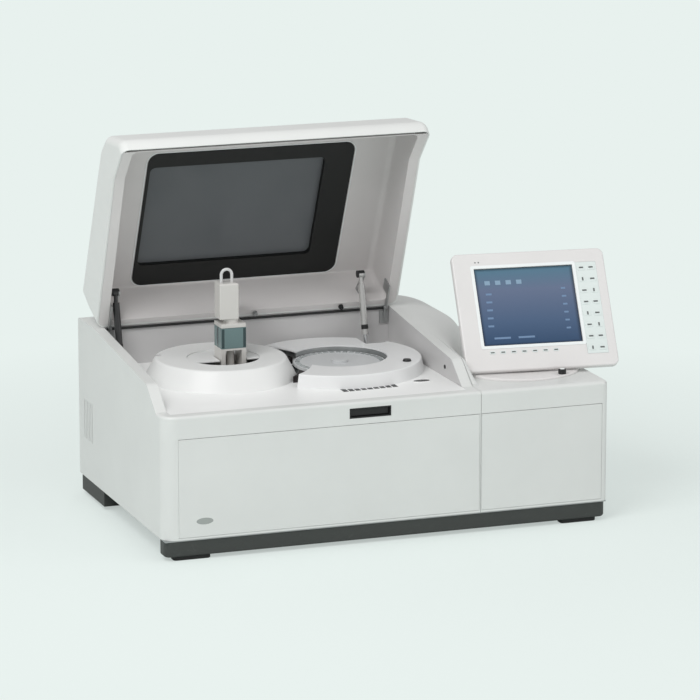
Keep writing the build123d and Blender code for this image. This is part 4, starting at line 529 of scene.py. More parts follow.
def plate_mesh(name: str, outline: Sequence[Vector], thickness: Vector, hole: Sequence[Vector] = ()) -> bpy.types.Mesh:
    """A flat plate of any outline, with one hole of as many points if it is given.

    Args:
        name: The mesh's name.
        outline: Points of the lower face, in metres.
        thickness: From the lower to the upper face, in metres.
        hole: Points of the hole's edge, as many as the outline has.

    Returns:
        The finished mesh.
    """
    bm = bmesh.new()
    rows = [[bm.verts.new(p) for p in outline], [bm.verts.new(p + thickness) for p in outline]]
    count = len(outline)
    if hole:
        rows += [[bm.verts.new(p + thickness) for p in hole], [bm.verts.new(p) for p in hole]]
        for start in range(4):
            lower, upper = rows[start], rows[(start + 1) % 4]
            for step in range(count):
                following = (step + 1) % count
                bm.faces.new((lower[step], lower[following], upper[following], upper[step]))
    else:
        for step in range(count):
            following = (step + 1) % count
            bm.faces.new((rows[0][step], rows[0][following], rows[1][following], rows[1][step]))
        bm.faces.new(list(reversed(rows[0])))
        bm.faces.new(rows[1])
    return finished(bm, name)


def turned_mesh(name: str, base: Vector, outline: Sequence[tuple[float, float]], steps: int = 72, axis: Vector = Vector((0, 0, 1))) -> bpy.types.Mesh:
    """A turned piece.

    Args:
        name: The mesh's name.
        base: The foot of its axis, in metres.
        outline: Radius and height pairs in millimetres, closed on itself.
        steps: Faces round the piece.
        axis: The direction of its axis.

    Returns:
        The finished mesh.
    """
    bm = bmesh.new()
    turn = axis.to_track_quat("Z", "Y").to_matrix()
    rings = []
    for step in range(steps):
        angle = 2 * math.pi * step / steps
        spoke = Vector((math.cos(angle), math.sin(angle), 0.0))
        rings.append([bm.verts.new(base + turn @ (spoke * r + Vector((0, 0, h))) * MM) for r, h in outline])
    count = len(outline)
    for step in range(steps):
        here, there = rings[step], rings[(step + 1) % steps]
        for index in range(count):
            following = (index + 1) % count
            bm.faces.new((here[index], there[index], there[following], here[following]))
    bmesh.ops.remove_doubles(bm, verts=bm.verts, dist=1e-7)
    return finished(bm, name)


def finished(bm: bmesh.types.BMesh, name: str) -> bpy.types.Mesh:
    """Close the book on a mesh: outward faces, smooth shading."""
    bmesh.ops.recalc_face_normals(bm, faces=bm.faces)
    for face in bm.faces:
        face.smooth = True
    mesh = bpy.data.meshes.new(name)
    bm.to_mesh(mesh)
    bm.free()
    return mesh


def rounded(width: float, height: float, radius: float, steps: int = 6) -> list[tuple[float, float]]:
    """The outline of a rounded rectangle about its middle, anticlockwise."""
    points = []
    for corner, (sx, sy) in enumerate(((1, 1), (-1, 1), (-1, -1), (1, -1))):
        for step in range(steps + 1):
            angle = math.pi / 2 * (corner + step / steps)
            points.append(
                (
                    sx * (width / 2 - radius) + radius * math.cos(angle),
                    sy * (height / 2 - radius) + radius * math.sin(angle),
                )
            )
    return points


# ---------------------------------------------------------------- repeated pieces
class RepeatTree:
    """Geometry Nodes that set one small piece on every point of a mesh."""

    @staticmethod
    def _ending(tree: bpy.types.NodeTree, start: bpy.types.Node, piece: bpy.types.NodeSocket) -> None:
        """Place the piece on the points and finish the tree.

        Args:
            tree: The tree being built.
            start: Its group input.
            piece: The socket with the piece's geometry.
        """
        new, link = tree.nodes.new, tree.links.new
        turn = new("GeometryNodeInputNamedAttribute")
        turn.data_type = "FLOAT_VECTOR"
        turn.inputs["Name"].default_value = "turn"
        rotation = new("FunctionNodeEulerToRotation")
        link(turn.outputs["Attribute"], rotation.inputs["Euler"])
        placed = new("GeometryNodeInstanceOnPoints")
        link(start.outputs["Geometry"], placed.inputs["Points"])
        link(piece, placed.inputs["Instance"])
        link(rotation.outputs["Rotation"], placed.inputs["Rotation"])
        real = new("GeometryNodeRealizeInstances")
        link(placed.outputs["Instances"], real.inputs["Geometry"])
        dress = new("GeometryNodeSetMaterial")
        link(real.outputs["Geometry"], dress.inputs["Geometry"])
        link(start.outputs["Finish"], dress.inputs["Material"])
        end = new("NodeGroupOutput")
        link(dress.outputs["Geometry"], end.inputs["Geometry"])

    @staticmethod
    def _start(name: str, sizes: Sequence[tuple[str, str]]) -> tuple[bpy.types.NodeTree, bpy.types.Node]:
        """Open a tree with its named inputs.

        Args:
            name: The tree's name.
            sizes: The names and kinds of its size inputs.

        Returns:
            The tree and its group input.
        """
        tree = bpy.data.node_groups.new(name, "GeometryNodeTree")
        tree.interface.new_socket("Geometry", in_out="INPUT", socket_type="NodeSocketGeometry")
        for label, kind in sizes:
            tree.interface.new_socket(label, in_out="INPUT", socket_type=kind)
        tree.interface.new_socket("Finish", in_out="INPUT", socket_type="NodeSocketMaterial")
        tree.interface.new_socket("Geometry", in_out="OUTPUT", socket_type="NodeSocketGeometry")
        return tree, tree.nodes.new("NodeGroupInput")

    @classmethod
    def studs(cls) -> bpy.types.NodeTree:
        """Turned studs with a tapering side."""
        found = bpy.data.node_groups.get("studs_on_points")
        if found:
            return found
        sizes = (("Sides", "NodeSocketInt"), ("Foot Radius", "NodeSocketFloat"), ("Head Radius", "NodeSocketFloat"), ("Height", "NodeSocketFloat"), ("Lift", "NodeSocketFloat"))
        tree, start = cls._start("studs_on_points", sizes)
        cone = tree.nodes.new("GeometryNodeMeshCone")
        link = tree.links.new
        link(start.outputs["Sides"], cone.inputs["Vertices"])
        link(start.outputs["Foot Radius"], cone.inputs["Radius Bottom"])
        link(start.outputs["Head Radius"], cone.inputs["Radius Top"])
        link(start.outputs["Height"], cone.inputs["Depth"])
        lift = tree.nodes.new("ShaderNodeCombineXYZ")
        link(start.outputs["Lift"], lift.inputs["Z"])
        moved = tree.nodes.new("GeometryNodeTransform")
        link(cone.outputs["Mesh"], moved.inputs["Geometry"])
        link(lift.outputs["Vector"], moved.inputs["Translation"])
        cls._ending(tree, start, moved.outputs["Geometry"])
        return tree

    @classmethod
    def bars(cls) -> bpy.types.NodeTree:
        """Straight bars, resting on their points."""
        found = bpy.data.node_groups.get("bars_on_points")
        if found:
            return found
        tree, start = cls._start("bars_on_points", (("Size", "NodeSocketVector"), ("Lift", "NodeSocketFloat")))
        cube = tree.nodes.new("GeometryNodeMeshCube")
        link = tree.links.new
        link(start.outputs["Size"], cube.inputs["Size"])
        lift = tree.nodes.new("ShaderNodeCombineXYZ")
        link(start.outputs["Lift"], lift.inputs["Z"])
        moved = tree.nodes.new("GeometryNodeTransform")
        link(cube.outputs["Mesh"], moved.inputs["Geometry"])
        link(lift.outputs["Vector"], moved.inputs["Translation"])
        cls._ending(tree, start, moved.outputs["Geometry"])
        return tree


# ---------------------------------------------------------------- the workshop
@dataclass
class Workshop:
    """Makes pieces, dresses the frame's own ones and ties each to its body."""

    nodes: dict
    layout: Layout
    finishes: Finishes = field(default_factory=Finishes)

    def body_of(self, node: str) -> str:
        """The body that a node of the frame belongs to."""
        return body_of(self.nodes[node])[0]

    def add(self, name: str, mesh: bpy.types.Mesh, body: str, finish: Finish, slot: str = "", edge: float = 0.0) -> bpy.types.Object:
        """Put a new piece in the scene.

        Args:
            name: The piece's name.
            mesh: Its mesh, already in place.
            body: The body it rides on.
            finish: Its finish.
            slot: The record's material slot, if it has one; not used.
            edge: The width of its rounded edges in millimetres.

        Returns:
            The object.
        """
        made = bpy.data.objects.new(name, mesh)
        bpy.context.scene.collection.objects.link(made)
        mesh.materials.clear()
        mesh.materials.append(finish.material())
        self._edges(made, edge)
        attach(made, body)
        LOG.info("%s: %d faces on %s", name, len(mesh.polygons), body)
        return made

    @staticmethod
    def _edges(made: bpy.types.Object, edge: float, limit: float = 34.0) -> None:
        """Round an object's sharp edges and keep its flat faces flat."""
        made.data.shade_smooth()
        if edge:
            bevel = made.modifiers.new("rounding", "BEVEL")
            bevel.width = edge * MM
            bevel.segments = 2
            bevel.limit_method = "ANGLE"
            bevel.angle_limit = math.radians(limit)
            bevel.use_clamp_overlap = True
            bevel.harden_normals = False
        else:
            made.data.set_sharp_from_angle(angle=math.radians(limit))
        level = made.modifiers.new("flat_faces", "WEIGHTED_NORMAL")
        level.keep_sharp = True
        level.weight = 100

    def dress(self, node: str, finish: Finish, slot: str, edge: float = 0.0) -> bpy.types.Object:
        """Stand a welded and edged copy of a frame node in its place.

        Args:
            node: The node's name.
            finish: The finish it gets.
            slot: The record's material slot.
            edge: The width of its rounded edges in millimetres.

        Returns:
            The copy.
        """
        bm = bmesh.new()
        bm.from_mesh(self.nodes[node].data)
        bmesh.ops.remove_doubles(bm, verts=bm.verts, dist=2e-6)
        bmesh.ops.dissolve_limit(bm, angle_limit=math.radians(0.4), verts=bm.verts, edges=bm.edges)
        mesh = bpy.data.meshes.new(f"{node}_dressed")
        bm.to_mesh(mesh)
        bm.free()
        made = self.add(f"{node}_dressed", mesh, self.body_of(node), finish, slot, edge)
        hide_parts(node)
        return made

    def repeat(self, name: str, tree: bpy.types.NodeTree, places: Sequence[tuple[Vector, Vector]], body: str, finish: Finish, sizes: dict, slot: str = "") -> bpy.types.Object:
        """Repeat a small piece over places with Geometry Nodes.

        Args:
            name: The finished piece's name.
            tree: The tree that makes one.
            places: Points with the direction each piece stands in.
            body: The body they ride on.
            finish: Their finish.
            sizes: The tree's inputs by name, in millimetres where they are lengths.
            slot: The record's material slot, if it has one.

        Returns:
            One plain mesh object with all of them.
        """
        points = bpy.data.meshes.new(f"{name}_points")
        points.from_pydata([p for p, _ in places], [], [])
        turn = points.attributes.new("turn", "FLOAT_VECTOR", "POINT")
        for index, (_, way) in enumerate(places):
            turn.data[index].vector = way.to_track_quat("Z", "Y").to_euler()
        host = bpy.data.objects.new(f"{name}_host", points)
        bpy.context.scene.collection.objects.link(host)
        modifier = host.modifiers.new("repeat", "NODES")
        modifier.node_group = tree
        for item in tree.interface.items_tree:
            if item.item_type == "SOCKET" and item.in_out == "INPUT":
                if item.name == "Finish":
                    modifier[item.identifier] = finish.material()
                elif item.name in sizes:
                    value = sizes[item.name]
                    if isinstance(value, int):
                        modifier[item.identifier] = value
                    elif isinstance(value, float):
                        modifier[item.identifier] = value * MM
                    else:
                        modifier[item.identifier] = [part * MM for part in value]
        graph = bpy.context.evaluated_depsgraph_get()
        graph.update()
        mesh = bpy.data.meshes.new_from_object(host.evaluated_get(graph), depsgraph=graph)
        mesh.name = name
        bpy.data.objects.remove(host)
        return self.add(name, mesh, body, finish, slot)


# ---------------------------------------------------------------- sub-assemblies
@dataclass
class Cabinet:
    """The two part body on its dark plinth, with the latch and the rear fittings."""

    shop: Workshop
    badge_at: tuple[float, float] = (83.0, 77.0)
    badge_size: tuple[float, float] = (17.0, 6.5)
    well: tuple[float, float, float, float] = (10.0, 652.0, 10.0, 470.0)

    def build(self) -> None:
        """Dress the body and add its small parts."""
        shop, look = self.shop, self.shop.finishes
        self._paint_well_shade(shop.dress("main_housing", look.housing, "housing", 0.9))
        shop.dress("front_cover_main", look.housing, "housing", 0.5)
        shop.dress("side_housing", look.housing, "housing", 0.9)
        shop.dress("front_cover_side", look.housing, "housing", 0.5)
        shop.dress("rear_panel", look.rear, "rear_steel", 0.3)
        shop.dress("base_pan", look.pan, "pan_steel", 0.3)
        shop.dress("plinth", look.plinth, "plinth_plastic", 1.2)
        shop.dress("rubber_feet", look.rubber, "rubber", 0.8)
        shop.dress("power_inlet", look.black, "black_plastic", 0.4)
        shop.dress("power_rocker", look.black, "black_plastic", 0.5)
        shop.dress("data_ports", look.port_steel, "port_steel", 0.3)
        shop.dress("fluid_ports", look.black, "black_plastic", 0.4)
        shop.dress("fan_frame", look.black, "black_plastic", 0.5)
        shop.dress("fan_rotor", look.black, "black_plastic", 0.4)
        shop.dress("cover_screws", look.screw, "screw_steel", 0.2)
        shop.dress("latch_bezel", look.black, "black_plastic", 0.5)
        shop.dress("latch_button", look.black, "black_plastic", 0.6)
        shop.dress("power_supply", look.supply, "psu", 0.8)
        shop.dress("main_board", look.circuit, "circuit", 0.2)
        shop.dress("syringe_pump", look.motor, "motor", 0.8)
        self._badge()

    def _paint_well_shade(self, housing: bpy.types.Object) -> None:
        """Give the upright walls inside the well painted shade: faces that look left or to the front get a greyer copy
        of the housing paint.

        Args:
            housing: The dressed main housing.
        """
        shop, place = self.shop, self.shop.layout
        low = place.at(self.well[0], self.well[2], place.deck)
        high = place.at(self.well[1], self.well[3], 2 * place.deck)
        housing.data.materials.append(shop.finishes.well.material())
        for polygon in housing.data.polygons:
            middle = polygon.center
            inside = low.x < middle.x < high.x and low.y < middle.y < high.y and middle.z > low.z
            # Painted shade: walls facing left or to the front take the greyer well finish.
            if inside and abs(polygon.normal.z) < 0.3 and (polygon.normal.x < -0.7 or polygon.normal.y < -0.7):
                polygon.material_index = 1

    def _badge(self) -> None:
        """A bare oval plate low on the front, with its raised rim."""
        shop, place = self.shop, self.shop.layout
        x, z = self.badge_at
        rx, rz = self.badge_size
        ring = [(math.cos(math.tau * k / 48), math.sin(math.tau * k / 48)) for k in range(48)]
        out = Vector((0, -0.11, 0)) * MM
        plate = [place.at(x + rx * c, 0.05, z + rz * s) for c, s in ring]
        shop.add("badge_plate", plate_mesh("badge_plate", plate, out), "instrument", shop.finishes.badge, edge=0.1)
        rim = [place.at(x + (rx - 0.4) * c, 0.25, z + (rz - 0.4) * s) for c, s in ring]
        shop.add("badge_rim", tube_mesh("badge_rim", rim, 0.35, 8, True), "instrument", shop.finishes.print_grey)


@dataclass
class Deck:
    """The deck plate with its viewing port, strut slots and printed bars."""

    shop: Workshop
    mark_left: tuple[float, float] = (406.0, 106.0)
    mark_right: tuple[float, float] = (512.0, 112.0)
    mark_count: int = 9

    def build(self) -> None:
        """Dress the deck and add its port, marks and small fixings."""
        shop, look = self.shop, self.shop.finishes
        shop.dress("deck_plate", look.deck, "deck", 0.4)
        shop.dress("strut_grommets", look.rubber, "rubber", 0.5)
        shop.dress("viewing_port", look.port, "smoked", 0.2)
        self._marks()
        self._port_rim()
        self._sensor()

    def _marks(self) -> None:
        """Plain printed bars on the deck in front of the rotor."""
        shop, place = self.shop, self.shop.layout
        (x0, y0), (x1, y1) = self.mark_left, self.mark_right
        up = Vector((0, 0, 1))
        places = []
        for index in range(self.mark_count):
            t = index / (self.mark_count - 1)
            places.append((place.at(x0 + (x1 - x0) * t, y0 + (y1 - y0) * t, place.deck + 0.06), up))
        shop.repeat("deck_marks", RepeatTree.bars(), places, "instrument", shop.finishes.print_dark, {"Size": (10.5, 36.0, 0.12), "Lift": 0.0})

    def _port_rim(self) -> None:
        """A raised bright collar round the oval port."""
        shop, place = self.shop, self.shop.layout
        box_low, box_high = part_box("viewing_port")
        middle = (box_low + box_high) / 2
        rx, ry = (box_high.x - box_low.x) / 2 + 0.0018, (box_high.y - box_low.y) / 2 + 0.0018
        top = place.at(0, 0, place.deck).z
        path = [Vector((middle.x + rx * math.cos(a), middle.y + ry * math.sin(a), top)) for a in (math.tau * k / 56 for k in range(56))]
        shop.add("port_collar", tube_mesh("port_collar", path, 1.3, 10, True), "instrument", shop.finishes.deck)

    def _sensor(self) -> None:
        """A dark level sensor on the rotor's cover and a plug in the well's right wall."""
        shop, place = self.shop, self.shop.layout
        up = Vector((0, 0, 1))
        sensor = [(place.at(573.0, 194.0, 314.0), up)]
        shop.repeat("cover_sensor", RepeatTree.studs(), sensor, "instrument", shop.finishes.black, {"Sides": 28, "Foot Radius": 9.0, "Head Radius": 7.5, "Height": 4.0, "Lift": 0.0})
        plug = [(place.at(634.2, 141.0, 309.0), Vector((-1, 0, 0)))]
        shop.repeat("wall_plug", RepeatTree.studs(), plug, "instrument", shop.finishes.black, {"Sides": 20, "Foot Radius": 4.5, "Head Radius": 3.6, "Height": 1.6, "Lift": 0.0})


@dataclass
class Lid:
    """The open lid: shell, grey liner, window, hinges and gas struts."""

    shop: Workshop
    seal_y: float = 463.5
    seal_z: float = 364.0
    seal_from: float = 24.0
    seal_to: float = 628.0
    cheek_x: float = 639.0

    def build(self) -> None:
        """Dress the lid and its hardware."""
        shop, look = self.shop, self.shop.finishes
        shop.dress("lid_shell", look.lid_outer, "housing", 0.8)
        shop.dress("lid_liner", look.liner, "liner", 0.7)
        shop.dress("window_frame", look.frame, "black_frame", 0.5)
        shop.dress("window_glass", look.smoked, "smoked", 0.3)
        shop.dress("hinge_leaves", look.hinge, "hinge_steel", 0.3)
        shop.dress("hinge_brackets", look.hinge, "hinge_steel", 0.3)
        shop.dress("strut_ears", look.hinge, "hinge_steel", 0.3)
        shop.dress("strut_brackets", look.hinge, "hinge_steel", 0.3)
        # The two struts are alike: the left rod gets painted shade, a darker copy of the chrome, and the right tube
        # gets painted highlight, a pale copy of the strut paint.
        for side, rod, tube in (("left", look.chrome_painted_shade, look.strut), ("right", look.chrome, look.strut_painted_highlight)):
            shop.dress(f"strut_rod_{side}", rod, "chrome", 0.2)
            shop.dress(f"strut_tube_{side}", tube, "strut_paint", 0.6)
            self._strut_ends(side)
        self._frame_line()
        self._seal()
        self._bumpers()
        self._guide()

    def _frame_line(self) -> None:
        """The thin light seam round the window frame."""
        shop, place = self.shop, self.shop.layout
        path = [place.ceiling(326.0 + x, 187.0 + w, 0.3) for x, w in rounded(444.6, 327.6, 24.0, 8)]
        shop.add("window_seam", tube_mesh("window_seam", path, 0.8, 8, True), "lid", shop.finishes.display_rim)

    def _strut_ends(self, side: str) -> None:
        """The black eye and collar at the two ends of a strut's tube."""
        shop = self.shop
        low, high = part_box(f"strut_tube_{side}")
        x, reach = (low.x + high.x) / 2, 6.0 * MM
        foot, head = Vector((x, low.y + 1.4 * reach, low.z + 2.2 * reach)), Vector((x, high.y - reach, high.z - reach))
        along = (head - foot).normalized()
        body, black = shop.body_of(f"strut_tube_{side}"), shop.finishes.black
        eye = [(head - Vector((7.2, 0, 0)) * MM, Vector((1, 0, 0)))]
        shop.repeat(f"strut_eye_{side}", RepeatTree.studs(), eye, body, black, {"Sides": 28, "Foot Radius": 7.6, "Head Radius": 7.6, "Height": 14.4, "Lift": 0.0})
        shop.repeat(f"strut_collar_{side}", RepeatTree.studs(), [(foot, along)], body, black, {"Sides": 28, "Foot Radius": 7.3, "Head Radius": 7.3, "Height": 9.0, "Lift": 0.0})

    def _seal(self) -> None:
        """The dark strip that the lid closes on, along the top of the well's back wall."""
        shop, place = self.shop, self.shop.layout
        path = [place.at(x, self.seal_y, self.seal_z) for x in (self.seal_from, self.seal_to)]
        shop.add("back_seal", tube_mesh("back_seal", path, 2.8, 10), "instrument", shop.finishes.black)

    def _bumpers(self) -> None:
        """Two small stops on the lid's edge beside the hinges."""
        shop, place = self.shop, self.shop.layout
        for name, x, finish in (("bumper_left", 341.0, shop.finishes.hinge), ("bumper_right", 527.0, shop.finishes.black)):
            out = place.lid(x, 9.0, 0.0) - place.lid(x, 9.0, 1.0)
            foot = [(place.lid(x, 9.0, 1.8), out.normalized())]
            shop.repeat(name, RepeatTree.studs(), foot, "lid", finish, {"Sides": 22, "Foot Radius": 5.5, "Head Radius": 4.4, "Height": 6.0, "Lift": 0.0})

    def _guide(self) -> None:
        """The short slotted groove, drawn as a raised grey line of painted shade, and the stop pin in the liner's
        right cheek.
        """
        shop, place = self.shop, self.shop.layout
        path = [place.lid(self.cheek_x, u, v) for u, v in ((150.0, 34.0), (205.0, 22.0), (250.0, 20.0))]
        # The groove is not cut: a grey bead paints the shade inside it.
        shop.add("cheek_groove_painted_shade", tube_mesh("cheek_groove_painted_shade", path, 1.6, 8), "lid", shop.finishes.print_grey)
        pin = [(place.lid(self.cheek_x, 272.0, 20.0), Vector((-1, 0, 0)))]
        shop.repeat("cheek_pin", RepeatTree.studs(), pin, "lid", shop.finishes.black, {"Sides": 18, "Foot Radius": 3.6, "Head Radius": 3.0, "Height": 2.4, "Lift": 0.0})


@dataclass
class ReagentBay:
    """The reagent drum with its carousel, bottles and tubes."""

    shop: Workshop
    opening: tuple[float, float] = (218.0, 292.0)
    opening_r: float = 73.0
    edge_y: float = 272.0
    plate_z: float = 324.0
    plate_t: float = 3.0
    gap: float = 2.5

    def build(self) -> None:
        """Dress the drum and what turns in it."""
        shop, look = self.shop, self.shop.finishes
        shop.dress("drum_cover", look.drum, "deck", 0.8)
        shop.dress("drum_bowl", look.steel, "steel", 0.4)
        shop.dress("reagent_carousel", look.carousel, "carousel", 0.4)
        shop.dress("reagent_bottles", look.bottle, "bottle", 0.5)
        shop.dress("sample_tubes", look.tube, "tube_glass", 0.2)
        shop.dress("carousel_motor", look.motor, "motor", 0.8)
        self._shutter()

    def _shutter(self) -> None:
        """The pale plate that closes the back of the drum's opening round the tower."""
        shop, place = self.shop, self.shop.layout
        (x, y), radius = self.opening, self.opening_r - 0.4
        low, high = (corner - place.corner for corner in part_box("probe_mast"))
        left, right, back = low.x / MM - self.gap, high.x / MM + self.gap, high.y / MM + self.gap
        start = math.asin((self.edge_y - y) / radius)
        arc = [start + (math.pi - 2 * start) * k / 60 for k in range(61)]
        outline = [(x + radius * math.cos(a), y + radius * math.sin(a)) for a in arc]
        outline += [(left, self.edge_y), (left, back), (right, back), (right, self.edge_y)]
        points = [place.at(px, py, self.plate_z) for px, py in outline]
        thickness = Vector((0, 0, self.plate_t)) * MM
        shop.add("drum_shutter", plate_mesh("drum_shutter", points, thickness), "instrument", shop.finishes.drum, edge=0.4)


@dataclass
class ReactionBay:
    """The reaction rotor in its bath, under the low round cover."""

    shop: Workshop

    def build(self) -> None:
        """Dress the rotor's cover, bath and optics."""
        shop, look = self.shop, self.shop.finishes
        shop.dress("reaction_cover", look.riser, "deck", 0.7)
        shop.dress("reaction_bowl", look.steel, "steel", 0.4)
        shop.dress("reaction_disk", look.rotor, "carousel", 0.4)
        shop.dress("cuvettes", look.cuvette, "cuvette")
        shop.dress("reaction_motor", look.motor, "motor", 0.8)
        shop.dress("photometer", look.black, "black_plastic", 0.8)
        # The wash station's dark finish also paints the shade in the dish round it.
        shop.dress("wash_station", look.mechanism_and_shade, "black_plastic", 0.5)


@dataclass
class SampleTower:
    """The sampling tower with its teal window, arm, needle and tubing."""

    shop: Workshop
    strip: float = 3.5

    def build(self) -> None:
        """Dress the tower and its arm."""
        shop, look = self.shop, self.shop.finishes
        shop.dress("probe_mast", look.tower, "tower", 0.8)
        shop.dress("mast_window", look.teal, "teal", 0.4)
        shop.dress("probe_arm", look.tower, "tower", 0.6)
        shop.dress("probe_needle", look.needle, "needle_steel")
        shop.dress("tubing_loop", look.tubing, "tubing")
        self._strips()

    def _strips(self) -> None:
        """Dark upright strips at the two front edges of the teal window and one down its left side."""
        shop = self.shop
        low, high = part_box("mast_window")
        middle, tall = (low.z + high.z) / 2, (high.z - low.z) / MM
        front, left = Vector((0, -1, 0)), Vector((-1, 0, 0))
        sides = [(Vector((x, low.y, middle)), front) for x in (low.x + self.strip * MM, high.x - self.strip * MM)]
        sides.append((Vector((low.x, (low.y + high.y) / 2, middle)), left))
        shop.repeat("window_strips", RepeatTree.bars(), sides, shop.body_of("mast_window"), shop.finishes.teal_dark, {"Size": (self.strip * 1.6, tall - 3.0, 0.5), "Lift": 0.0})


@dataclass
class Display:
    """The tilting display with its keys, on its oval base."""

    shop: Workshop
    picture: tuple[float, float] = (205.0, 164.0)
    recess: float = 3.0
    rim: float = 7.0
    keys_at: tuple[float, float] = (131.0, -11.0)
    keys_high: float = 196.0
    key_rows: int = 8

    def build(self) -> None:
        """Dress the display and draw its plain picture."""
        shop, look = self.shop, self.shop.finishes
        shop.dress("monitor_base", look.display_case, "housing", 0.6)
        shop.dress("tilt_knob", look.black, "black_plastic", 0.5)
        shop.dress("monitor_yoke", look.display_case, "housing", 0.8)
        shop.dress("monitor_bezel", look.display_case, "monitor_case", 0.8)
        shop.dress("monitor_shell", look.display_case, "monitor_case", 0.8)
        shop.dress("keypad", look.key_panel, "key_grey", 0.3)
        self._screen()
        self._rim()
        self._keys()

    def _screen(self) -> None:
        """The lit panel, its plain picture and a few bare marks on it."""
        shop, place, look = self.shop, self.shop.layout, self.shop.finishes
        shop.dress("monitor_screen", look.glass, "display", 0.2)
        width, height = self.picture
        corners = [place.screen(x * width / 2, y * height / 2, -self.recess + 0.15) for x, y in ((-1, -1), (1, -1), (1, 1), (-1, 1))]
        mesh = bpy.data.meshes.new("picture")
        mesh.from_pydata(corners, [], [(0, 1, 2, 3)])
        spots = mesh.uv_layers.new(name="UVMap").data
        for index, spot in enumerate(((0, 0), (1, 0), (1, 1), (0, 1))):
            spots[index].uv = spot
        made = shop.add("picture", mesh, "display", look.glass)
        mesh.materials.clear()
        mesh.materials.append(self._picture_material())
        LOG.info("%s lit", made.name)
        out = place.screen_axes()[2]
        groups = (
            ("picture_buttons", look.mark_pale, (11.0, 9.0, 0.1), [(-78.0 + 22.0 * k, 52.0) for k in range(4)]),
            ("picture_left", look.mark, (12.0, 4.0, 0.1), [(-78.0 - 1.0 * k, 28.0 - 17.0 * k) for k in range(5)]),
            ("picture_right", look.mark, (9.0, 3.6, 0.1), [(78.0, 34.0 - 17.0 * k) for k in range(6)]),
            ("picture_foot", look.mark, (34.0, 4.0, 0.1), [(-62.0, -66.0), (-12.0, -66.0)]),
        )
        for name, finish, size, spots in groups:
            places = [(place.screen(x, y, -self.recess + 0.3), out) for x, y in spots]
            shop.repeat(name, RepeatTree.bars(), places, "display", finish, {"Size": size, "Lift": 0.0})

    @staticmethod
    def _picture_material() -> bpy.types.Material:
        """The picture's lit surface."""
        made = bpy.data.materials.new("picture_light")
        made.use_nodes = True
        nodes, link = made.node_tree.nodes, made.node_tree.links.new
        shader = nodes["Principled BSDF"]
        tone = nodes.new("ShaderNodeGroup")
        tone.node_tree = ShaderGroups.picture()
        link(nodes.new("ShaderNodeTexCoord").outputs["UV"], tone.inputs["Vector"])
        tone.inputs["Margin"].default_value = 0.035
        link(tone.outputs["Colour"], shader.inputs["Base Color"])
        link(tone.outputs["Colour"], shader.inputs["Emission Color"])
        shader.inputs["Emission Strength"].default_value = 0.1
        shader.inputs["Roughness"].default_value = 0.22
        return made

    def _keys(self) -> None:
        """Bare dark signs on the keys beside and below the picture."""
        shop, place, look = self.shop, self.shop.layout, self.shop.finishes
        out = place.screen_axes()[2]
        pitch = self.keys_high / self.key_rows
        top = self.keys_at[1] + self.keys_high / 2 - pitch / 2
        wide, slim, soft = [], [], []
        for row in range(self.key_rows):
            for side in (-1, 1):
                spot = place.screen(self.keys_at[0] + side * 10.0, top - row * pitch, 0.9)
                (wide if (row + side) % 3 else slim).append((spot, out))
        for step in range(7):
            soft.append((place.screen(-88.0 + 22.0 * step, -97.0, 0.9), out))
        for name, spots, size in (("key_signs", wide, (9.0, 3.0, 0.15)), ("key_numbers", slim, (3.0, 7.0, 0.15)), ("soft_key_signs", soft, (8.0, 2.6, 0.15))):
            shop.repeat(name, RepeatTree.bars(), spots, "display", look.print_grey, {"Size": size, "Lift": 0.0})
        dots = [(place.screen(-98.0 + 7.0 * k, 96.0, 0.1), out) for k in range(2)]
        shop.repeat("signal_lamps", RepeatTree.studs(), dots, "display", look.print_grey, {"Sides": 14, "Foot Radius": 1.5, "Head Radius": 1.2, "Height": 0.6, "Lift": 0.0})
        cap = [(Vector(((low.x + high.x) / 2, (low.y + high.y) / 2, high.z)), Vector((0, 0, 1))) for low, high in (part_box("tilt_knob"),)]
        shop.repeat("knob_cap", RepeatTree.studs(), cap, shop.body_of("tilt_knob"), look.display_rim, {"Sides": 28, "Foot Radius": 5.0, "Head Radius": 4.4, "Height": 0.8, "Lift": 0.0})

    def _rim(self) -> None:
        """The flat bright rim round the picture."""
        shop, place = self.shop, self.shop.layout
        width, height = self.picture
        outer = [place.screen(x, y, 0.02) for x, y in rounded(width + 2 * self.rim, height + 2 * self.rim, 4.0, 5)]
        inner = [place.screen(x, y, 0.02) for x, y in rounded(width + 1.0, height + 1.0, 1.2, 5)]
        out = place.screen_axes()[2] * 0.9 * MM
        shop.add("picture_rim", plate_mesh("picture_rim", outer, out, inner), "display", shop.finishes.display_rim, edge=0.3)


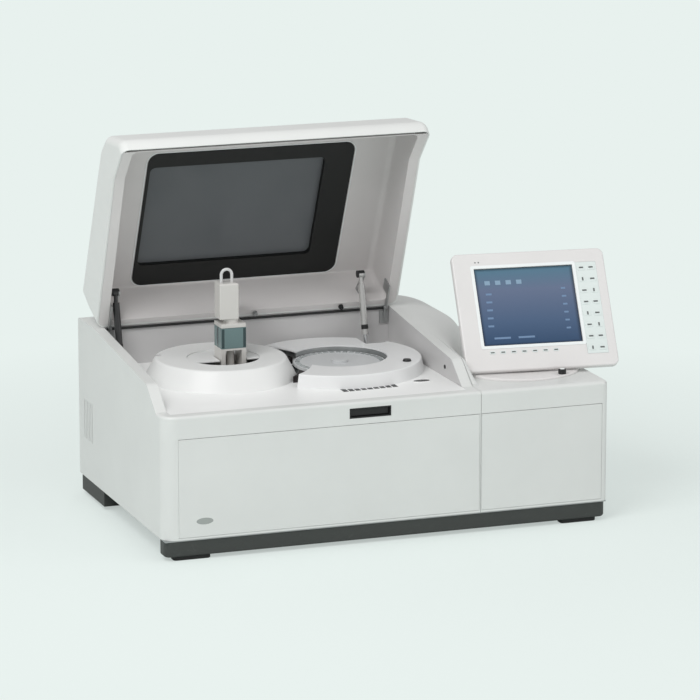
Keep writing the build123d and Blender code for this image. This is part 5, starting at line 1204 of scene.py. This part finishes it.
# ---------------------------------------------------------------- studio
@dataclass
class Studio:
    """Plain pale floor, soft light and the camera at the photograph's angle."""

    layout: Layout
    camera_at: tuple[float, float, float] = (-2351.7, -7550.0, 2232.2)
    azimuth: float = math.radians(19.9)
    elevation: float = math.radians(12.9)
    lens: float = 218.2
    pale: tuple[int, int, int] = (232, 241, 238)
    shadow_near: float = 0.7
    shadow_far: float = 1.6

    def build(self) -> None:
        """Set the floor, the light and the camera."""
        self._floor()
        self._world()
        self._lamp("key_light", (-2.2, -1.7, 3.2), 2.2, 84.0)
        self._lamp("fill_light", (2.6, -2.2, 1.8), 3.0, 26.0)
        self._camera()

    def _floor(self) -> None:
        """A wide pale floor that keeps the object's shadow."""
        mesh = bpy.data.meshes.new("floor")
        reach = 60.0
        mesh.from_pydata([(-reach, -reach, 0), (reach, -reach, 0), (reach, reach, 0), (-reach, reach, 0)], [], [(0, 1, 2, 3)])
        floor = bpy.data.objects.new("floor", mesh)
        bpy.context.scene.collection.objects.link(floor)
        mesh.materials.append(self._paper())

    def _paper(self) -> bpy.types.Material:
        """Pale paper that keeps the shadow near the object and is plainly pale away from it."""
        made = Finish("floor_paper", self.pale, 0.9, drift=0.0, smear=0.0, grain=Grain.SMOOTH).material()
        nodes, link = made.node_tree.nodes, made.node_tree.links.new
        shown = nodes.new("ShaderNodeEmission")
        shown.inputs["Color"].default_value = linear(self.pale)
        length = nodes.new("ShaderNodeVectorMath")
        length.operation = "LENGTH"
        link(nodes.new("ShaderNodeTexCoord").outputs["Object"], length.inputs[0])
        share = nodes.new("ShaderNodeMapRange")
        share.inputs["From Min"].default_value = self.shadow_near
        share.inputs["From Max"].default_value = self.shadow_far
        share.inputs["To Min"].default_value = 0.55
        link(length.outputs["Value"], share.inputs["Value"])
        seen = nodes.new("ShaderNodeMath")
        seen.operation = "MULTIPLY"
        link(share.outputs["Result"], seen.inputs[0])
        link(nodes.new("ShaderNodeLightPath").outputs["Is Camera Ray"], seen.inputs[1])
        mix = nodes.new("ShaderNodeMixShader")
        link(seen.outputs[0], mix.inputs["Fac"])
        link(nodes["Principled BSDF"].outputs["BSDF"], mix.inputs[1])
        link(shown.outputs["Emission"], mix.inputs[2])
        link(mix.outputs["Shader"], nodes["Material Output"].inputs["Surface"])
        return made

    def _world(self) -> None:
        """Even pale light from all round."""
        world = bpy.data.worlds.new("studio")
        world.use_nodes = True
        bpy.context.scene.world = world
        nodes, link = world.node_tree.nodes, world.node_tree.links.new
        back = nodes["Background"]
        back.inputs["Color"].default_value = linear((247, 247, 247))
        back.inputs["Strength"].default_value = 0.55
        shown = nodes.new("ShaderNodeBackground")
        shown.inputs["Color"].default_value = linear(self.pale)
        shown.inputs["Strength"].default_value = 1.0
        path = nodes.new("ShaderNodeLightPath")
        mix = nodes.new("ShaderNodeMixShader")
        link(path.outputs["Is Camera Ray"], mix.inputs["Fac"])
        link(back.outputs["Background"], mix.inputs[1])
        link(shown.outputs["Background"], mix.inputs[2])
        link(mix.outputs["Shader"], nodes["World Output"].inputs["Surface"])

    @staticmethod
    def _lamp(name: str, place: tuple[float, float, float], size: float, power: float) -> None:
        """A large soft square lamp that looks at the object's middle.

        Args:
            name: The lamp's name.
            place: Metres.
            size: The side of its square, in metres.
            power: Watts.
        """
        data = bpy.data.lights.new(name, "AREA")
        data.size = size
        data.energy = power
        lamp = bpy.data.objects.new(name, data)
        lamp.location = place
        lamp.rotation_euler = (Vector((0, 0, 0.3)) - Vector(place)).to_track_quat("-Z", "Y").to_euler()
        bpy.context.scene.collection.objects.link(lamp)

    def _camera(self) -> None:
        """The photograph's own viewpoint."""
        data = bpy.data.cameras.new("camera")
        data.lens = self.lens
        data.sensor_width = 36.0
        data.clip_end = 200.0
        camera = bpy.data.objects.new("camera", data)
        camera.location = self.layout.at(*self.camera_at)
        ahead = Vector(
            (
                math.sin(self.azimuth) * math.cos(self.elevation),
                math.cos(self.azimuth) * math.cos(self.elevation),
                -math.sin(self.elevation),
            )
        )
        camera.rotation_euler = ahead.to_track_quat("-Z", "Y").to_euler()
        bpy.context.scene.collection.objects.link(camera)
        bpy.context.scene.camera = camera


def main() -> None:
    """Build every sub-assembly in order and report it."""
    logging.basicConfig(level=logging.INFO, format="%(name)s: %(message)s")
    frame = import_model()
    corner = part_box("main_housing")[0]
    layout = Layout(Vector((corner.x, corner.y, 0.0)))
    shop = Workshop(frame["nodes"], layout)
    for assembly in (Cabinet(shop), Deck(shop), Lid(shop), ReagentBay(shop), ReactionBay(shop), SampleTower(shop), Display(shop)):
        assembly.build()
        LOG.info("%s finished", type(assembly).__name__)
    Studio(layout).build()
    bpy.context.scene.view_settings.view_transform = "Standard"


if __name__ == "__main__":
    main()
